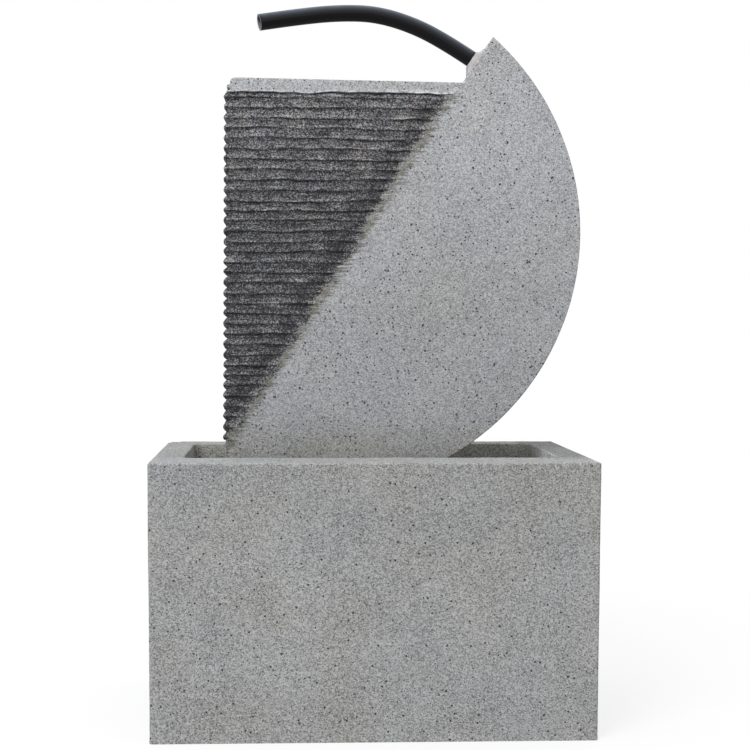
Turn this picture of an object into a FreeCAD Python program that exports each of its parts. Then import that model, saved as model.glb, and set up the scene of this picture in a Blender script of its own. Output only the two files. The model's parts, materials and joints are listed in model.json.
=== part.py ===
# Garden wall fountain: a cast trough holds the water, and a half-moon slab with a ridged,
# dark-stained face stands in it on a plinth. A small pump under the plinth's arch lifts the
# water through a hose in the slab and over its tip, and it falls down the ridges again.
# Millimetres, +Z up, +X to the viewer's right, +Y away from the viewer.
# The origin is the middle of the trough's footprint, on the ground.
import FreeCAD, Part
import math
import os

# Trough, a cast box that leans in a little towards the ground.
trough_width = 700.0
trough_depth = 350.0
trough_height = 430.0
side_wall = 50.0
front_wall = 82.0
back_wall = 45.0
floor_thickness = 55.0
outside_lean = 4.0
inside_lean = 7.0
trough_corner_radius = 5.0
basin_corner_radius = 16.0
rim_radius = 3.0

# Drain through the back wall.
drain_from_side = 125.0
drain_above_floor = 24.0
drain_recess_radius = 26.0
drain_recess_depth = 17.0
bush_radius = 15.0
bush_bore_radius = 10.5
bush_flange_radius = 20.0
bush_flange = 3.0
bush_length = 32.0
plug_shank_length = 22.0
plug_head_across = 26.0
plug_head_height = 8.0
plug_seal_radius = 16.0
plug_seal_thickness = 2.0
thread_clearance = 0.08

# Rubber grommet for the pump's lead, high in the back wall.
grommet_from_side = 125.0
grommet_below_rim = 38.0
grommet_radius = 10.0
grommet_bore_radius = 5.0
grommet_flange_radius = 15.0
grommet_flange = 3.0
grommet_clearance = 0.1

# Plinth with an arch for the pump, standing on rubber pads on the trough's floor.
plinth_width = 320.0
plinth_depth = 126.0
plinth_height = 239.0
arch_width = 200.0
arch_height = 160.0
arch_corner_radius = 32.0
plinth_edge_radius = 6.0
plinth_pad_size = 44.0
pad_thickness = 3.0
hose_hole_clearance = 2.0

# Half-moon slab. Heights are above its own foot.
slab_setback = 135.0
slab_thickness = 70.0
slab_left = -237.0
foot_width = 307.0
moon_radius = 426.5
moon_centre_right = 158.5
moon_centre_rise = 495.0
chord_lean = 57.0
chord_foot_right = 7.0
chord_foot_rise = 152.0
shoulder_from_tip = 90.0
shoulder_fall = 5.0
shoulder_radius = 15.0
slab_edge_chamfer = 1.5

# Ridged face, let into the slab's front and left side.
band_height = 19.0
facing_depth = 30.0
facing_return = 14.0
crest_setback = 3.0
crest_side_proud = 4.5
ridge_pitch = 16.9
ridge_depth = 6.0
ridge_lip = 3.5
first_crest_drop = 7.0
pin_radius = 3.0
pin_depth = 14.0
pin_drops = (132.0, 252.0, 372.0)
pin_inset = 60.0
pin_clearance = 0.05

# Dowels and pads that hold the slab on its plinth.
dowel_radius = 8.0
dowel_depth = 38.0
dowel_spacing = 220.0
dowel_clearance = 0.05
slab_pad_size = 58.0
slab_pad_hole_clearance = 1.0

# Hose from the pump to the tip of the slab.
hose_radius = 13.5
hose_bore_radius = 10.0
hose_fit = 0.3
spout_from_shoulder = 48.0
hose_lean_rise = 100.0
hose_low_bend = 180.0
hose_tip_bend = 85.0
hose_tip_run = 92.0

# Free end of the hose: its first run leaves the slab square to the chord, and the offsets
# from the exit then give the points of its route.
spout_first_run = 48.0
spout_offsets = (
    (-96.0, 0.0, 55.0),
    (-159.0, 0.0, 73.5),
    (-221.0, -0.5, 74.5),
    (-289.0, -4.0, 66.5),
    (-354.0, -19.0, 52.5),
)
spout_bend_share = 0.45

# Mortar collar where the hose leaves the slab.
collar_height = 10.0
collar_root_radius = 25.0
collar_nose_radius = 18.0
collar_fit = 0.1

# Submersible pump. Distances along it start at the joint between motor and volute.
pump_length = 66.0
pump_width = 60.0
pump_height = 62.0
pump_wall = 2.5
pump_front_wall = 3.0
pump_corner_radius = 7.0
foot_height = 8.0
cup_radius = 9.0
cup_neck_radius = 2.5
cup_neck_depth = 2.0
cup_inset = 12.0
well_radius = 11.5
well_wall = 2.0
well_depth = 46.0
core_width = 28.0
core_leg = 8.0
core_start = 8.0
core_gap = 0.5
coil_thickness = 3.0
coil_half_length = 13.0
gland_radius = 7.0
gland_length = 10.0
gland_bore_radius = 3.5
gland_bore_depth = 8.0

# Rotor, shaft and bushes.
shaft_radius = 2.0
rotor_clearance = 0.05
magnet_radius = 10.5
magnet_start = 4.0
magnet_length = 38.0
bush_end_gap = 0.3
bush_grip = 0.1
hub_radius = 6.5
impeller_radius = 21.0
impeller_disc = 1.6
impeller_start = 2.5
impeller_length = 11.0
vane_thickness = 1.4
vane_count = 6

# Volute cover with the intake and the outlet nozzle.
volute_depth = 20.0
volute_bore_radius = 24.0
volute_wall = 3.0
volute_face = 3.0
volute_flange = 3.5
intake_radius = 12.0
boss_radius = 6.0
boss_wall = 2.0
boss_length = 4.5
boss_cap = 1.0
spoke_width = 2.4
spoke_count = 3
nozzle_radius = 9.0
nozzle_bore_radius = 7.0
nozzle_rise = 40.0
seal_radius = 27.5
seal_section = 0.8
seal_groove = 1.2
screw_inset = 5.0
screw_radius = 1.5
screw_length = 9.0
screw_head_radius = 2.8
screw_head_height = 1.8
screw_clearance = 0.1

# Barbed tail that joins the nozzle to the hose, and the clamp on it.
tail_collar_radius = 14.0
tail_collar_start = 32.5
tail_collar_height = 11.0
tail_radius = 9.6
tail_length = 32.0
barb_radius = 9.9
barb_count = 3
barb_pitch = 9.0
barb_height = 4.0
clamp_rise = 14.0
clamp_width = 12.0
clamp_thickness = 0.9
clamp_fit = 0.1
worm_housing_length = 15.0
worm_housing_depth = 8.0
worm_radius = 2.6
worm_head_radius = 4.0
worm_head_height = 4.0

# Strainer that slides over the volute, and the flow dial on its face.
strainer_length = 44.0
strainer_wall = 2.0
strainer_fit = 0.3
slot_width = 2.6
slot_pitch = 6.0
slot_margin = 9.0
nozzle_slot_clearance = 0.6
port_radius = 3.6
port_ring_radius = 11.0
port_count = 4
dial_radius = 17.0
dial_thickness = 3.0
dial_gap = 0.2
dial_pin_radius = 3.0
dial_pin_clearance = 0.08
dial_catch_radius = 4.2
dial_catch_length = 1.5
dial_tab_length = 7.0
dial_tab_width = 4.0

# Places worked out from the sizes above.
X_AXIS = FreeCAD.Vector(1, 0, 0)
Y_AXIS = FreeCAD.Vector(0, 1, 0)
Z_AXIS = FreeCAD.Vector(0, 0, 1)

trough_front_y = -trough_depth / 2
trough_back_y = trough_depth / 2
basin_front_y = trough_front_y + front_wall
basin_back_y = trough_back_y - back_wall
slab_front_y = trough_front_y + slab_setback
slab_back_y = slab_front_y + slab_thickness
slab_mid_y = (slab_front_y + slab_back_y) / 2
foot_mid_x = slab_left + foot_width / 2
plinth_bottom_z = floor_thickness + pad_thickness
plinth_top_z = plinth_bottom_z + plinth_height
slab_bottom_z = plinth_top_z + pad_thickness
chord_direction = FreeCAD.Vector(
    math.cos(math.radians(chord_lean)), 0, math.sin(math.radians(chord_lean))
)
chord_outward = FreeCAD.Vector(-chord_direction.z, 0, chord_direction.x)
moon_centre = FreeCAD.Vector(
    slab_left + moon_centre_right, slab_mid_y, slab_bottom_z + moon_centre_rise
)
chord_foot = FreeCAD.Vector(
    slab_left + chord_foot_right, slab_mid_y, slab_bottom_z + chord_foot_rise
)
pump_front_x = foot_mid_x - volute_depth / 2
pump_axis_z = floor_thickness + foot_height + pump_height / 2
hose_start_z = pump_axis_z + tail_collar_start + tail_collar_height


def vec(x, y, z):
    return FreeCAD.Vector(x, y, z)


def box(x0, x1, y0, y1, z0, z1):
    """A box between two corners."""
    return Part.makeBox(x1 - x0, y1 - y0, z1 - z0, vec(x0, y0, z0))


def rod(start, direction, length, radius):
    """A round bar from a point, along a direction."""
    return Part.makeCylinder(radius, length, start, direction)


def ring(start, direction, length, outer, inner):
    """A round bar with a bore right through it."""
    return rod(start, direction, length, outer).cut(rod(start, direction, length, inner))


def prism(points, sweep):
    """A closed outline of points, drawn out along a vector."""
    return Part.Face(Part.makePolygon(points + [points[0]])).extrude(sweep)


def tapered_box(low, high, z0, z1):
    """A box whose ends are rectangles (x0, x1, y0, y1) of different sizes."""
    corners = []
    for (x0, x1, y0, y1), z in ((low, z0), (high, z1)):
        corners.append([vec(x0, y0, z), vec(x1, y0, z), vec(x1, y1, z), vec(x0, y1, z)])
    bottom, top = corners
    loops = [bottom[::-1], top]
    for i in range(4):
        j = (i + 1) % 4
        loops.append([bottom[i], bottom[j], top[j], top[i]])
    faces = [Part.Face(Part.makePolygon(loop + [loop[0]])) for loop in loops]
    return Part.Solid(Part.Shell(faces))


def upright_edges(shape):
    """Edges that run mostly up and down."""
    found = []
    for edge in shape.Edges:
        rise = edge.BoundBox
        if rise.ZLength > rise.XLength + rise.YLength:
            found.append(edge)
    return found


def edges_along(shape, axis):
    """Straight edges parallel to an axis."""
    found = []
    for edge in shape.Edges:
        first, last = edge.Vertexes[0].Point, edge.Vertexes[-1].Point
        span = last - first
        if span.Length > 1e-6 and abs(abs(span.normalize().dot(axis)) - 1) < 1e-9:
            found.append(edge)
    return found


def ring_of(count, make):
    """Copies of one feature, each turned by an equal share of a circle (degrees)."""
    return [make(360.0 * i / count) for i in range(count)]


def bend_path(points, radii):
    """Straight runs joined by tangent arcs, one radius for each inner point."""
    edges = []
    start = points[0]
    for i, radius in enumerate(radii):
        corner = points[i + 1]
        back = (points[i] - corner).normalize()
        ahead = (points[i + 2] - corner).normalize()
        half_turn = (math.pi - back.getAngle(ahead)) / 2
        setback = radius * math.tan(half_turn)
        enter = corner + back * setback
        leave = corner + ahead * setback
        inward = (back + ahead).normalize()
        middle = corner + inward * (radius / math.cos(half_turn) - radius)
        edges.append(Part.LineSegment(start, enter).toShape())
        edges.append(Part.Arc(enter, middle, leave).toShape())
        start = leave
    edges.append(Part.LineSegment(start, points[-1]).toShape())
    return Part.Wire(edges)


def sweep_round(points, path, radius):
    """A solid bar of one radius along a path."""
    direction = (points[1] - points[0]).normalize()
    section = Part.Wire([Part.makeCircle(radius, points[0], direction)])
    return path.makePipeShell([section], True, False)


def free_bend_radii(points, share):
    """The largest even bends that the runs of a free hose allow."""
    radii = []
    for before, corner, after in zip(points, points[1:], points[2:]):
        back = before - corner
        ahead = after - corner
        half_turn = (math.pi - back.getAngle(ahead)) / 2
        radii.append(share * min(back.Length, ahead.Length) / math.tan(half_turn))
    return radii


def chord_x(z):
    """How far right the slab's chord edge is at a height."""
    return chord_foot.x + (z - chord_foot.z) / math.tan(math.radians(chord_lean))


def moon_edge_z(x, upper):
    """Height of the half-moon's round edge at a place across the slab."""
    rise = math.sqrt(moon_radius ** 2 - (x - moon_centre.x) ** 2)
    return moon_centre.z + rise if upper else moon_centre.z - rise


def chord_tip():
    """Where the chord meets the round edge at the top of the slab."""
    to_foot = chord_foot - moon_centre
    along = to_foot.dot(chord_direction)
    reach = math.sqrt(along ** 2 - to_foot.dot(to_foot) + moon_radius ** 2)
    return chord_foot + chord_direction * (reach - along)


def shoulder_end():
    """Where the top of the plain band meets the chord edge."""
    return chord_tip() - chord_direction * shoulder_from_tip


def facing_top():
    """Height of the ridged face's top, under the plain band."""
    return shoulder_end().z - band_height


def spout_exit():
    """Centre of the hose where it passes out through the chord edge."""
    return shoulder_end() + chord_direction * spout_from_shoulder


def riser_points():
    """Route of the hose from the pump's tail to the nose of the mortar collar."""
    nose = spout_exit() + chord_outward * collar_height
    tip_corner = spout_exit() - chord_outward * hose_tip_run
    lean_corner = vec(foot_mid_x, slab_mid_y, slab_bottom_z + hose_lean_rise)
    return [vec(foot_mid_x, slab_mid_y, hose_start_z), lean_corner, tip_corner, nose]


def spout_points():
    """Route of the free hose, from the collar's nose to the open mouth."""
    exit_point = spout_exit() + chord_outward * collar_height
    points = [exit_point, exit_point + chord_outward * spout_first_run]
    for offset in spout_offsets:
        points.append(exit_point + vec(*offset))
    return points


def drain_axis_point(y):
    return vec(trough_width / 2 - drain_from_side, y, floor_thickness + drain_above_floor)


def grommet_axis_point(y):
    return vec(grommet_from_side - trough_width / 2, y, trough_height - grommet_below_rim)


def drain_seat_y():
    """Back face of the bush's flange, where the plug's seal lands."""
    return trough_back_y - drain_recess_depth + bush_flange


def make_basin():
    """The trough: outside, hollow, drain hole with its recess, and grommet hole."""
    half = trough_width / 2
    outside = tapered_box(
        (outside_lean - half, half - outside_lean, trough_front_y + outside_lean / 2, trough_back_y),
        (-half, half, trough_front_y, trough_back_y),
        0, trough_height,
    )
    outside = outside.makeFillet(trough_corner_radius, upright_edges(outside))
    inner_half = half - side_wall
    hollow = tapered_box(
        (inside_lean - inner_half, inner_half - inside_lean, basin_front_y + inside_lean, basin_back_y),
        (-inner_half, inner_half, basin_front_y, basin_back_y),
        floor_thickness, trough_height,
    )
    hollow = hollow.makeFillet(basin_corner_radius, upright_edges(hollow))
    basin = outside.cut(hollow)
    rim = [e for e in basin.Edges if abs(e.BoundBox.ZMin - trough_height) < 1e-4]
    basin = basin.makeFillet(rim_radius, rim)
    through = back_wall + 2
    basin = basin.cut(rod(drain_axis_point(basin_back_y - 1), Y_AXIS, through, bush_radius))
    basin = basin.cut(rod(
        drain_axis_point(trough_back_y - drain_recess_depth),
        Y_AXIS, drain_recess_depth + 1, drain_recess_radius,
    ))
    hole = grommet_radius + grommet_clearance
    return basin.cut(rod(grommet_axis_point(basin_back_y - 1), Y_AXIS, through, hole))


def make_drain_bush():
    """Threaded brass bush, cast into the back wall, with its flange in the recess."""
    flange_y = trough_back_y - drain_recess_depth
    reach = min(bush_length, back_wall - drain_recess_depth)
    body = rod(drain_axis_point(flange_y - reach), Y_AXIS, reach, bush_radius)
    flange = rod(drain_axis_point(flange_y), Y_AXIS, bush_flange, bush_flange_radius)
    bore = rod(drain_axis_point(flange_y - reach), Y_AXIS, reach + bush_flange, bush_bore_radius)
    return body.fuse(flange).cut(bore)


def make_drain_plug():
    """Hexagon plug that screws into the bush against its seal."""
    head_y = drain_seat_y() + plug_seal_thickness
    shank = rod(
        drain_axis_point(head_y - plug_shank_length),
        Y_AXIS, plug_shank_length, bush_bore_radius - thread_clearance,
    )
    corner = plug_head_across / 2 / math.cos(math.pi / 6)
    middle = drain_axis_point(head_y)
    points = []
    for turn in ring_of(6, math.radians):
        points.append(middle + vec(corner * math.cos(turn), 0, corner * math.sin(turn)))
    return shank.fuse(prism(points, Y_AXIS * plug_head_height))


def make_drain_seal():
    """Flat rubber washer under the plug's head."""
    return ring(
        drain_axis_point(drain_seat_y()), Y_AXIS, plug_seal_thickness,
        plug_seal_radius, bush_bore_radius + thread_clearance,
    )


def make_cable_grommet():
    """Rubber sleeve through the back wall, with a flange inside the trough."""
    sleeve = rod(grommet_axis_point(basin_back_y), Y_AXIS, back_wall, grommet_radius)
    flange_y = basin_back_y - grommet_flange
    flange = rod(grommet_axis_point(flange_y), Y_AXIS, grommet_flange, grommet_flange_radius)
    length = back_wall + grommet_flange
    bore = rod(grommet_axis_point(flange_y), Y_AXIS, length, grommet_bore_radius)
    return sleeve.fuse(flange).cut(bore)


def dowel_places():
    return [vec(foot_mid_x + side * dowel_spacing / 2, slab_mid_y, plinth_top_z) for side in (-1, 1)]


def make_plinth():
    """Cast block with a rounded arch for the pump and a hole for the hose."""
    x0 = foot_mid_x - plinth_width / 2
    y0 = slab_mid_y - plinth_depth / 2
    block = box(x0, x0 + plinth_width, y0, y0 + plinth_depth, plinth_bottom_z, plinth_top_z)
    block = block.makeFillet(plinth_edge_radius, edges_along(block, Z_AXIS))
    arch_x0 = foot_mid_x - arch_width / 2
    arch_top = plinth_bottom_z + arch_height
    arch = box(arch_x0, arch_x0 + arch_width, y0 - 1, y0 + plinth_depth + 1, plinth_bottom_z - 1, arch_top)
    crown = [e for e in edges_along(arch, Y_AXIS) if abs(e.BoundBox.ZMin - arch_top) < 1e-6]
    arch = arch.makeFillet(arch_corner_radius, crown)
    block = block.cut(arch)
    hose_hole = hose_radius + hose_hole_clearance
    block = block.cut(rod(vec(foot_mid_x, slab_mid_y, plinth_bottom_z), Z_AXIS, plinth_height, hose_hole))
    for place in dowel_places():
        block = block.cut(rod(place, -Z_AXIS, dowel_depth, dowel_radius + dowel_clearance))
    return block


def make_plinth_pads():
    """Four rubber pads under the plinth's legs."""
    leg = (plinth_width - arch_width) / 2
    pads = []
    for side in (-1, 1):
        for end in (-1, 1):
            x = foot_mid_x + side * (plinth_width - leg) / 2
            y = slab_mid_y + end * (plinth_depth / 2 - plinth_pad_size / 2 - plinth_edge_radius)
            half = plinth_pad_size / 2
            pads.append(box(x - half, x + half, y - half, y + half, floor_thickness, plinth_bottom_z))
    return Part.makeCompound(pads)


def make_slab_pads():
    """Two rubber pads between plinth and slab, each with a hole for its dowel."""
    pads = []
    half = slab_pad_size / 2
    for place in dowel_places():
        pad = box(place.x - half, place.x + half, place.y - half, place.y + half, plinth_top_z, slab_bottom_z)
        pads.append(pad.cut(rod(place, Z_AXIS, pad_thickness, dowel_radius + slab_pad_hole_clearance)))
    return Part.makeCompound(pads)


def make_slab_dowels():
    """Two stainless dowels, half in the plinth and half in the slab."""
    length = 2 * dowel_depth + pad_thickness
    pins = [rod(place - Z_AXIS * dowel_depth, Z_AXIS, length, dowel_radius) for place in dowel_places()]
    return Part.makeCompound(pins)


def slab_outline():
    """The slab seen from the front: foot, left edge, shoulder, chord, tip and round edge."""
    y = slab_front_y
    tip = chord_tip()
    shoulder_end_z = shoulder_end().z
    foot_right = slab_left + foot_width
    corner_z = shoulder_end_z + shoulder_fall
    points = [
        vec(foot_right, y, slab_bottom_z),
        vec(slab_left, y, slab_bottom_z),
        vec(slab_left, y, corner_z - shoulder_radius),
        vec(slab_left + shoulder_radius, y, corner_z),
        vec(chord_x(shoulder_end_z), y, shoulder_end_z),
        vec(tip.x, y, tip.z),
        vec(foot_right, y, moon_edge_z(foot_right, False)),
    ]
    corner_middle = vec(
        slab_left + shoulder_radius * (1 - math.sqrt(0.5)), y,
        corner_z - shoulder_radius * (1 - math.sqrt(0.5)),
    )
    far_side = vec(moon_centre.x + moon_radius, y, moon_centre.z)
    return Part.Wire([
        Part.LineSegment(points[0], points[1]).toShape(),
        Part.LineSegment(points[1], points[2]).toShape(),
        Part.Arc(points[2], corner_middle, points[3]).toShape(),
        Part.LineSegment(points[3], points[4]).toShape(),
        Part.LineSegment(points[4], points[5]).toShape(),
        Part.Arc(points[5], far_side, points[6]).toShape(),
        Part.LineSegment(points[6], points[0]).toShape(),
    ])


def facing_region(overhang):
    """The room that the ridged face takes up in the slab, seen as one solid."""
    z0 = chord_foot.z
    left = slab_left - overhang
    outline = [
        vec(left, slab_front_y - overhang, z0),
        vec(chord_foot.x, slab_front_y - overhang, z0),
        vec(chord_x(facing_top()), slab_front_y - overhang, facing_top()),
        vec(left, slab_front_y - overhang, facing_top()),
    ]
    triangle = prism(outline, Y_AXIS * (slab_thickness + 2 * overhang))
    front = box(
        left, moon_centre.x + moon_radius,
        slab_front_y - overhang, slab_front_y + facing_depth, z0, facing_top(),
    )
    side = box(
        left, slab_left + facing_return,
        slab_front_y - overhang, slab_back_y + overhang, z0, facing_top(),
    )
    return triangle.common(front.fuse(side))


def pin_places():
    """Where the pins hold the ridged face: on its back, a little in from its left edge."""
    y = slab_front_y + facing_depth
    return [vec(slab_left + pin_inset, y, facing_top() - drop) for drop in pin_drops]


def pin_holes():
    holes = []
    for place in pin_places():
        start = place - Y_AXIS * pin_depth
        holes.append(rod(start, Y_AXIS, 2 * pin_depth, pin_radius + pin_clearance))
    return holes


def make_slab():
    """Half-moon casting with the bed for the ridged face, hose channel and dowel holes."""
    slab = Part.Face(slab_outline()).extrude(Y_AXIS * slab_thickness)
    rims = [e for e in slab.Edges if e.BoundBox.YLength < 1e-6]
    slab = slab.makeChamfer(slab_edge_chamfer, rims)
    slab = slab.cut(facing_region(10.0))
    points = riser_points()
    channel_points = [vec(foot_mid_x, slab_mid_y, slab_bottom_z - 1)] + points[1:3]
    channel_points.append(points[3] + chord_outward)
    path = bend_path(channel_points, [hose_low_bend, hose_tip_bend])
    slab = slab.cut(sweep_round(channel_points, path, hose_radius + hose_fit))
    for place in dowel_places():
        top = vec(place.x, place.y, slab_bottom_z)
        slab = slab.cut(rod(top, Z_AXIS, dowel_depth, dowel_radius + dowel_clearance))
    for hole in pin_holes():
        slab = slab.cut(hole)
    return slab


def ridge_line(top, bottom):
    """Points (depth behind the crests, height) down the face: long slopes, short lips."""
    line = [(ridge_depth, top)]
    crest = top - first_crest_drop
    slope = ridge_depth / (ridge_pitch - ridge_lip)
    while crest > bottom:
        line.append((0.0, crest))
        valley = crest - ridge_lip
        if valley <= bottom:
            line.append((ridge_depth * (crest - bottom) / ridge_lip, bottom))
            return line
        line.append((ridge_depth, valley))
        crest -= ridge_pitch
    line.append((ridge_depth - slope * (line[-1][1] - bottom), bottom))
    return line


def make_ridged_face():
    """Ridged facing whose ridges turn the corner on to the slab's left side."""
    top = facing_top()
    line = ridge_line(top, chord_foot.z)
    crest_y = slab_front_y + crest_setback
    crest_x = slab_left - crest_side_proud
    right = moon_centre.x + moon_radius
    back = slab_back_y + 1
    front_outline = [vec(crest_x, crest_y + depth, z) for depth, z in line]
    front_outline += [vec(crest_x, back, chord_foot.z), vec(crest_x, back, top)]
    side_outline = [vec(crest_x + depth, crest_y, z) for depth, z in line]
    side_outline += [vec(right, crest_y, chord_foot.z), vec(right, crest_y, top)]
    ridges = prism(front_outline, X_AXIS * (right - crest_x))
    ridges = ridges.common(prism(side_outline, Y_AXIS * (back - crest_y)))
    face = ridges.common(facing_region(10.0))
    face = face.cut(box(crest_x - 1, right, slab_back_y, back + 10, 0, top + 1))
    for hole in pin_holes():
        face = face.cut(hole)
    return face


def make_facing_pins():
    """Stainless pins between the ridged face and the slab behind it."""
    pins = []
    for place in pin_places():
        pins.append(rod(place - Y_AXIS * pin_depth, Y_AXIS, 2 * pin_depth, pin_radius))
    return Part.makeCompound(pins)


def make_spout_collar():
    """Mortar collar, standing on the chord edge round the hose."""
    start = spout_exit()
    body = Part.makeCone(collar_root_radius, collar_nose_radius, collar_height, start, chord_outward)
    bore = rod(start - chord_outward, chord_outward, collar_height + 2, hose_radius + collar_fit)
    return body.cut(bore)


def make_riser_hose():
    """Stretch of hose that the clamp, plinth, slab and collar hold all the way."""
    points = riser_points()
    path = bend_path(points, [hose_low_bend, hose_tip_bend])
    outer = sweep_round(points, path, hose_radius)
    bore_points = [points[0] - Z_AXIS] + points[1:3] + [points[3] + chord_outward]
    bore_path = bend_path(bore_points, [hose_low_bend, hose_tip_bend])
    return outer.cut(sweep_round(bore_points, bore_path, hose_bore_radius))


def make_spout_hose():
    """Free end of the hose as a plain tube, with its bends printed."""
    points = spout_points()
    radii = free_bend_radii(points, spout_bend_share)
    path = bend_path(points, radii)
    tube = sweep_round(points, path, hose_radius)
    expected = math.pi * hose_radius ** 2 * path.Length
    print("spout hose length %.1f mm" % path.Length)
    print("spout hose bend radii", [round(radius) for radius in radii])
    print("spout hose volume over section times length %.4f" % (tube.Volume / expected))
    return tube


def along_pump(distance, y=0.0, z=0.0):
    """A point on the pump: distance from the motor joint, and offsets from its axis."""
    return vec(pump_front_x + distance, slab_mid_y + y, pump_axis_z + z)


def pump_block(start, end, width, height):
    """A box centred on the pump's axis."""
    return box(
        pump_front_x + start, pump_front_x + end,
        slab_mid_y - width / 2, slab_mid_y + width / 2,
        pump_axis_z - height / 2, pump_axis_z + height / 2,
    )


def rotor_well(grow):
    """Closed tube in the motor for the rotor, or the room it takes when grown."""
    return rod(along_pump(0), -X_AXIS, well_depth + grow, well_radius + grow)


def core_leg_start():
    return well_radius + well_wall + core_gap


def make_pump_housing():
    """Motor shell with the rotor well, the seal groove, screw holes and foot sockets."""
    shell = pump_block(-pump_length, 0, pump_width, pump_height)
    shell = shell.makeFillet(pump_corner_radius, edges_along(shell, X_AXIS))
    inside = pump_block(
        pump_wall - pump_length, -pump_front_wall,
        pump_width - 2 * pump_wall, pump_height - 2 * pump_wall,
    )
    inside = inside.makeFillet(pump_corner_radius - pump_wall, edges_along(inside, X_AXIS))
    shell = shell.cut(inside.cut(rotor_well(well_wall)).cut(screw_bosses()))
    shell = shell.cut(rotor_well(0))
    groove = ring(
        along_pump(0), -X_AXIS, 2 * seal_section,
        seal_radius + seal_groove, seal_radius - seal_groove,
    )
    shell = shell.cut(groove)
    for place in screw_places():
        shell = shell.cut(rod(place, -X_AXIS, screw_length, screw_radius + screw_clearance))
    for place in cup_places():
        shell = shell.cut(rod(place, Z_AXIS, cup_neck_depth, cup_neck_radius))
    return shell


def cup_places():
    """Sockets for the suction cups, in the underside of the motor."""
    places = []
    for distance in (cup_inset - pump_length, -cup_inset):
        for side in (-1, 1):
            y = side * (pump_width / 2 - cup_inset)
            places.append(along_pump(distance, y, -pump_height / 2))
    return places


def make_suction_cups():
    """Four rubber cups that hold the pump on the trough's floor."""
    cups = []
    for place in cup_places():
        base = place - Z_AXIS * foot_height
        cup = Part.makeCone(cup_radius, cup_neck_radius + 1, foot_height, base, Z_AXIS)
        hollow = Part.makeCone(cup_radius - 1.5, 0.5, foot_height / 2, base, Z_AXIS)
        neck = rod(place, Z_AXIS, cup_neck_depth, cup_neck_radius)
        cups.append(cup.cut(hollow).fuse(neck))
    return Part.makeCompound(cups)


def screw_places():
    """Four screws at the corners of the volute's flange."""
    places = []
    for side in (-1, 1):
        for end in (-1, 1):
            y = side * (pump_width / 2 - screw_inset)
            z = end * (pump_height / 2 - screw_inset)
            places.append(along_pump(0, y, z))
    return places


def screw_bosses():
    """Columns inside the motor shell that take the cover's screws."""
    reach = screw_length + pump_wall
    bosses = [rod(place, -X_AXIS, reach, screw_inset) for place in screw_places()]
    return bosses[0].multiFuse(bosses[1:])


def make_stator_core():
    """U-shaped laminated core: a leg on each side of the well, joined behind it."""
    near = core_leg_start()
    far = near + core_leg
    yoke_end = -(pump_length - pump_wall - coil_thickness - core_gap)
    yoke_start = yoke_end + core_leg
    parts = []
    for side in (-1, 1):
        y0, y1 = sorted((side * near, side * far))
        low = along_pump(yoke_end, y0, -core_width / 2)
        high = along_pump(-core_start, y1, core_width / 2)
        parts.append(box(low.x, high.x, low.y, high.y, low.z, high.z))
    low = along_pump(yoke_end, -far, -core_width / 2)
    high = along_pump(yoke_start, far, core_width / 2)
    yoke = box(low.x, high.x, low.y, high.y, low.z, high.z)
    return yoke.multiFuse(parts)


def coil_room():
    yoke_end = -(pump_length - pump_wall - coil_thickness - core_gap)
    low = along_pump(yoke_end - coil_thickness, -coil_half_length, -core_width / 2 - coil_thickness)
    high = along_pump(yoke_end + core_leg + coil_thickness, coil_half_length, core_width / 2 + coil_thickness)
    return box(low.x, high.x, low.y, high.y, low.z, high.z)


def make_stator_coil():
    """Copper winding round the core's yoke."""
    coil = coil_room()
    coil = coil.makeFillet(coil_thickness - 0.5, edges_along(coil, Y_AXIS))
    return coil.cut(make_stator_core())


def make_potting():
    """Resin that seals the core and winding in the motor shell."""
    inside = pump_block(
        pump_wall - pump_length, -pump_front_wall,
        pump_width - 2 * pump_wall, pump_height - 2 * pump_wall,
    )
    inside = inside.makeFillet(pump_corner_radius - pump_wall, edges_along(inside, X_AXIS))
    resin = inside.cut(rotor_well(well_wall)).cut(screw_bosses())
    return resin.cut(make_stator_core()).cut(make_stator_coil())


def make_cable_gland():
    """Moulded gland on the motor's end, with a blind bore for the lead."""
    start = along_pump(-pump_length)
    body = rod(start, -X_AXIS, gland_length, gland_radius)
    edges = [e for e in body.Edges if abs(e.BoundBox.XMax - (start.x - gland_length)) < 1e-6]
    body = body.makeFillet(1.0, edges)
    mouth = start - X_AXIS * (gland_length - gland_bore_depth)
    return body.cut(rod(mouth, -X_AXIS, gland_bore_depth, gland_bore_radius))


def make_rotor_magnet():
    """Ferrite magnet that the stator turns, bored for the shaft."""
    start = along_pump(-magnet_start - magnet_length)
    return ring(start, X_AXIS, magnet_length, magnet_radius, shaft_radius + rotor_clearance)


def make_impeller():
    """Open impeller: hub, back disc and straight vanes."""
    hub = rod(along_pump(-magnet_start), X_AXIS, magnet_start + impeller_start + impeller_length, hub_radius)
    disc = rod(along_pump(impeller_start), X_AXIS, impeller_disc, impeller_radius)

    def vane(turn):
        low = along_pump(impeller_start, -vane_thickness / 2, hub_radius - 1)
        blade = Part.makeBox(impeller_length, vane_thickness, impeller_radius - hub_radius + 0.5, low)
        blade.rotate(along_pump(0), X_AXIS, turn)
        return blade

    wheel = hub.multiFuse([disc] + ring_of(vane_count, vane))
    bore_length = magnet_start + impeller_start + impeller_length + 2
    bore = rod(along_pump(-magnet_start - 1), X_AXIS, bore_length, shaft_radius + rotor_clearance)
    return wheel.cut(bore)


def shaft_end():
    """Front end of the shaft, just short of the boss's cap."""
    return volute_depth - boss_cap - bush_end_gap


def make_rotor_shaft():
    """Fixed ceramic shaft between the two bushes."""
    start = -well_depth + bush_end_gap
    return rod(along_pump(start), X_AXIS, shaft_end() - start, shaft_radius)


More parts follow.
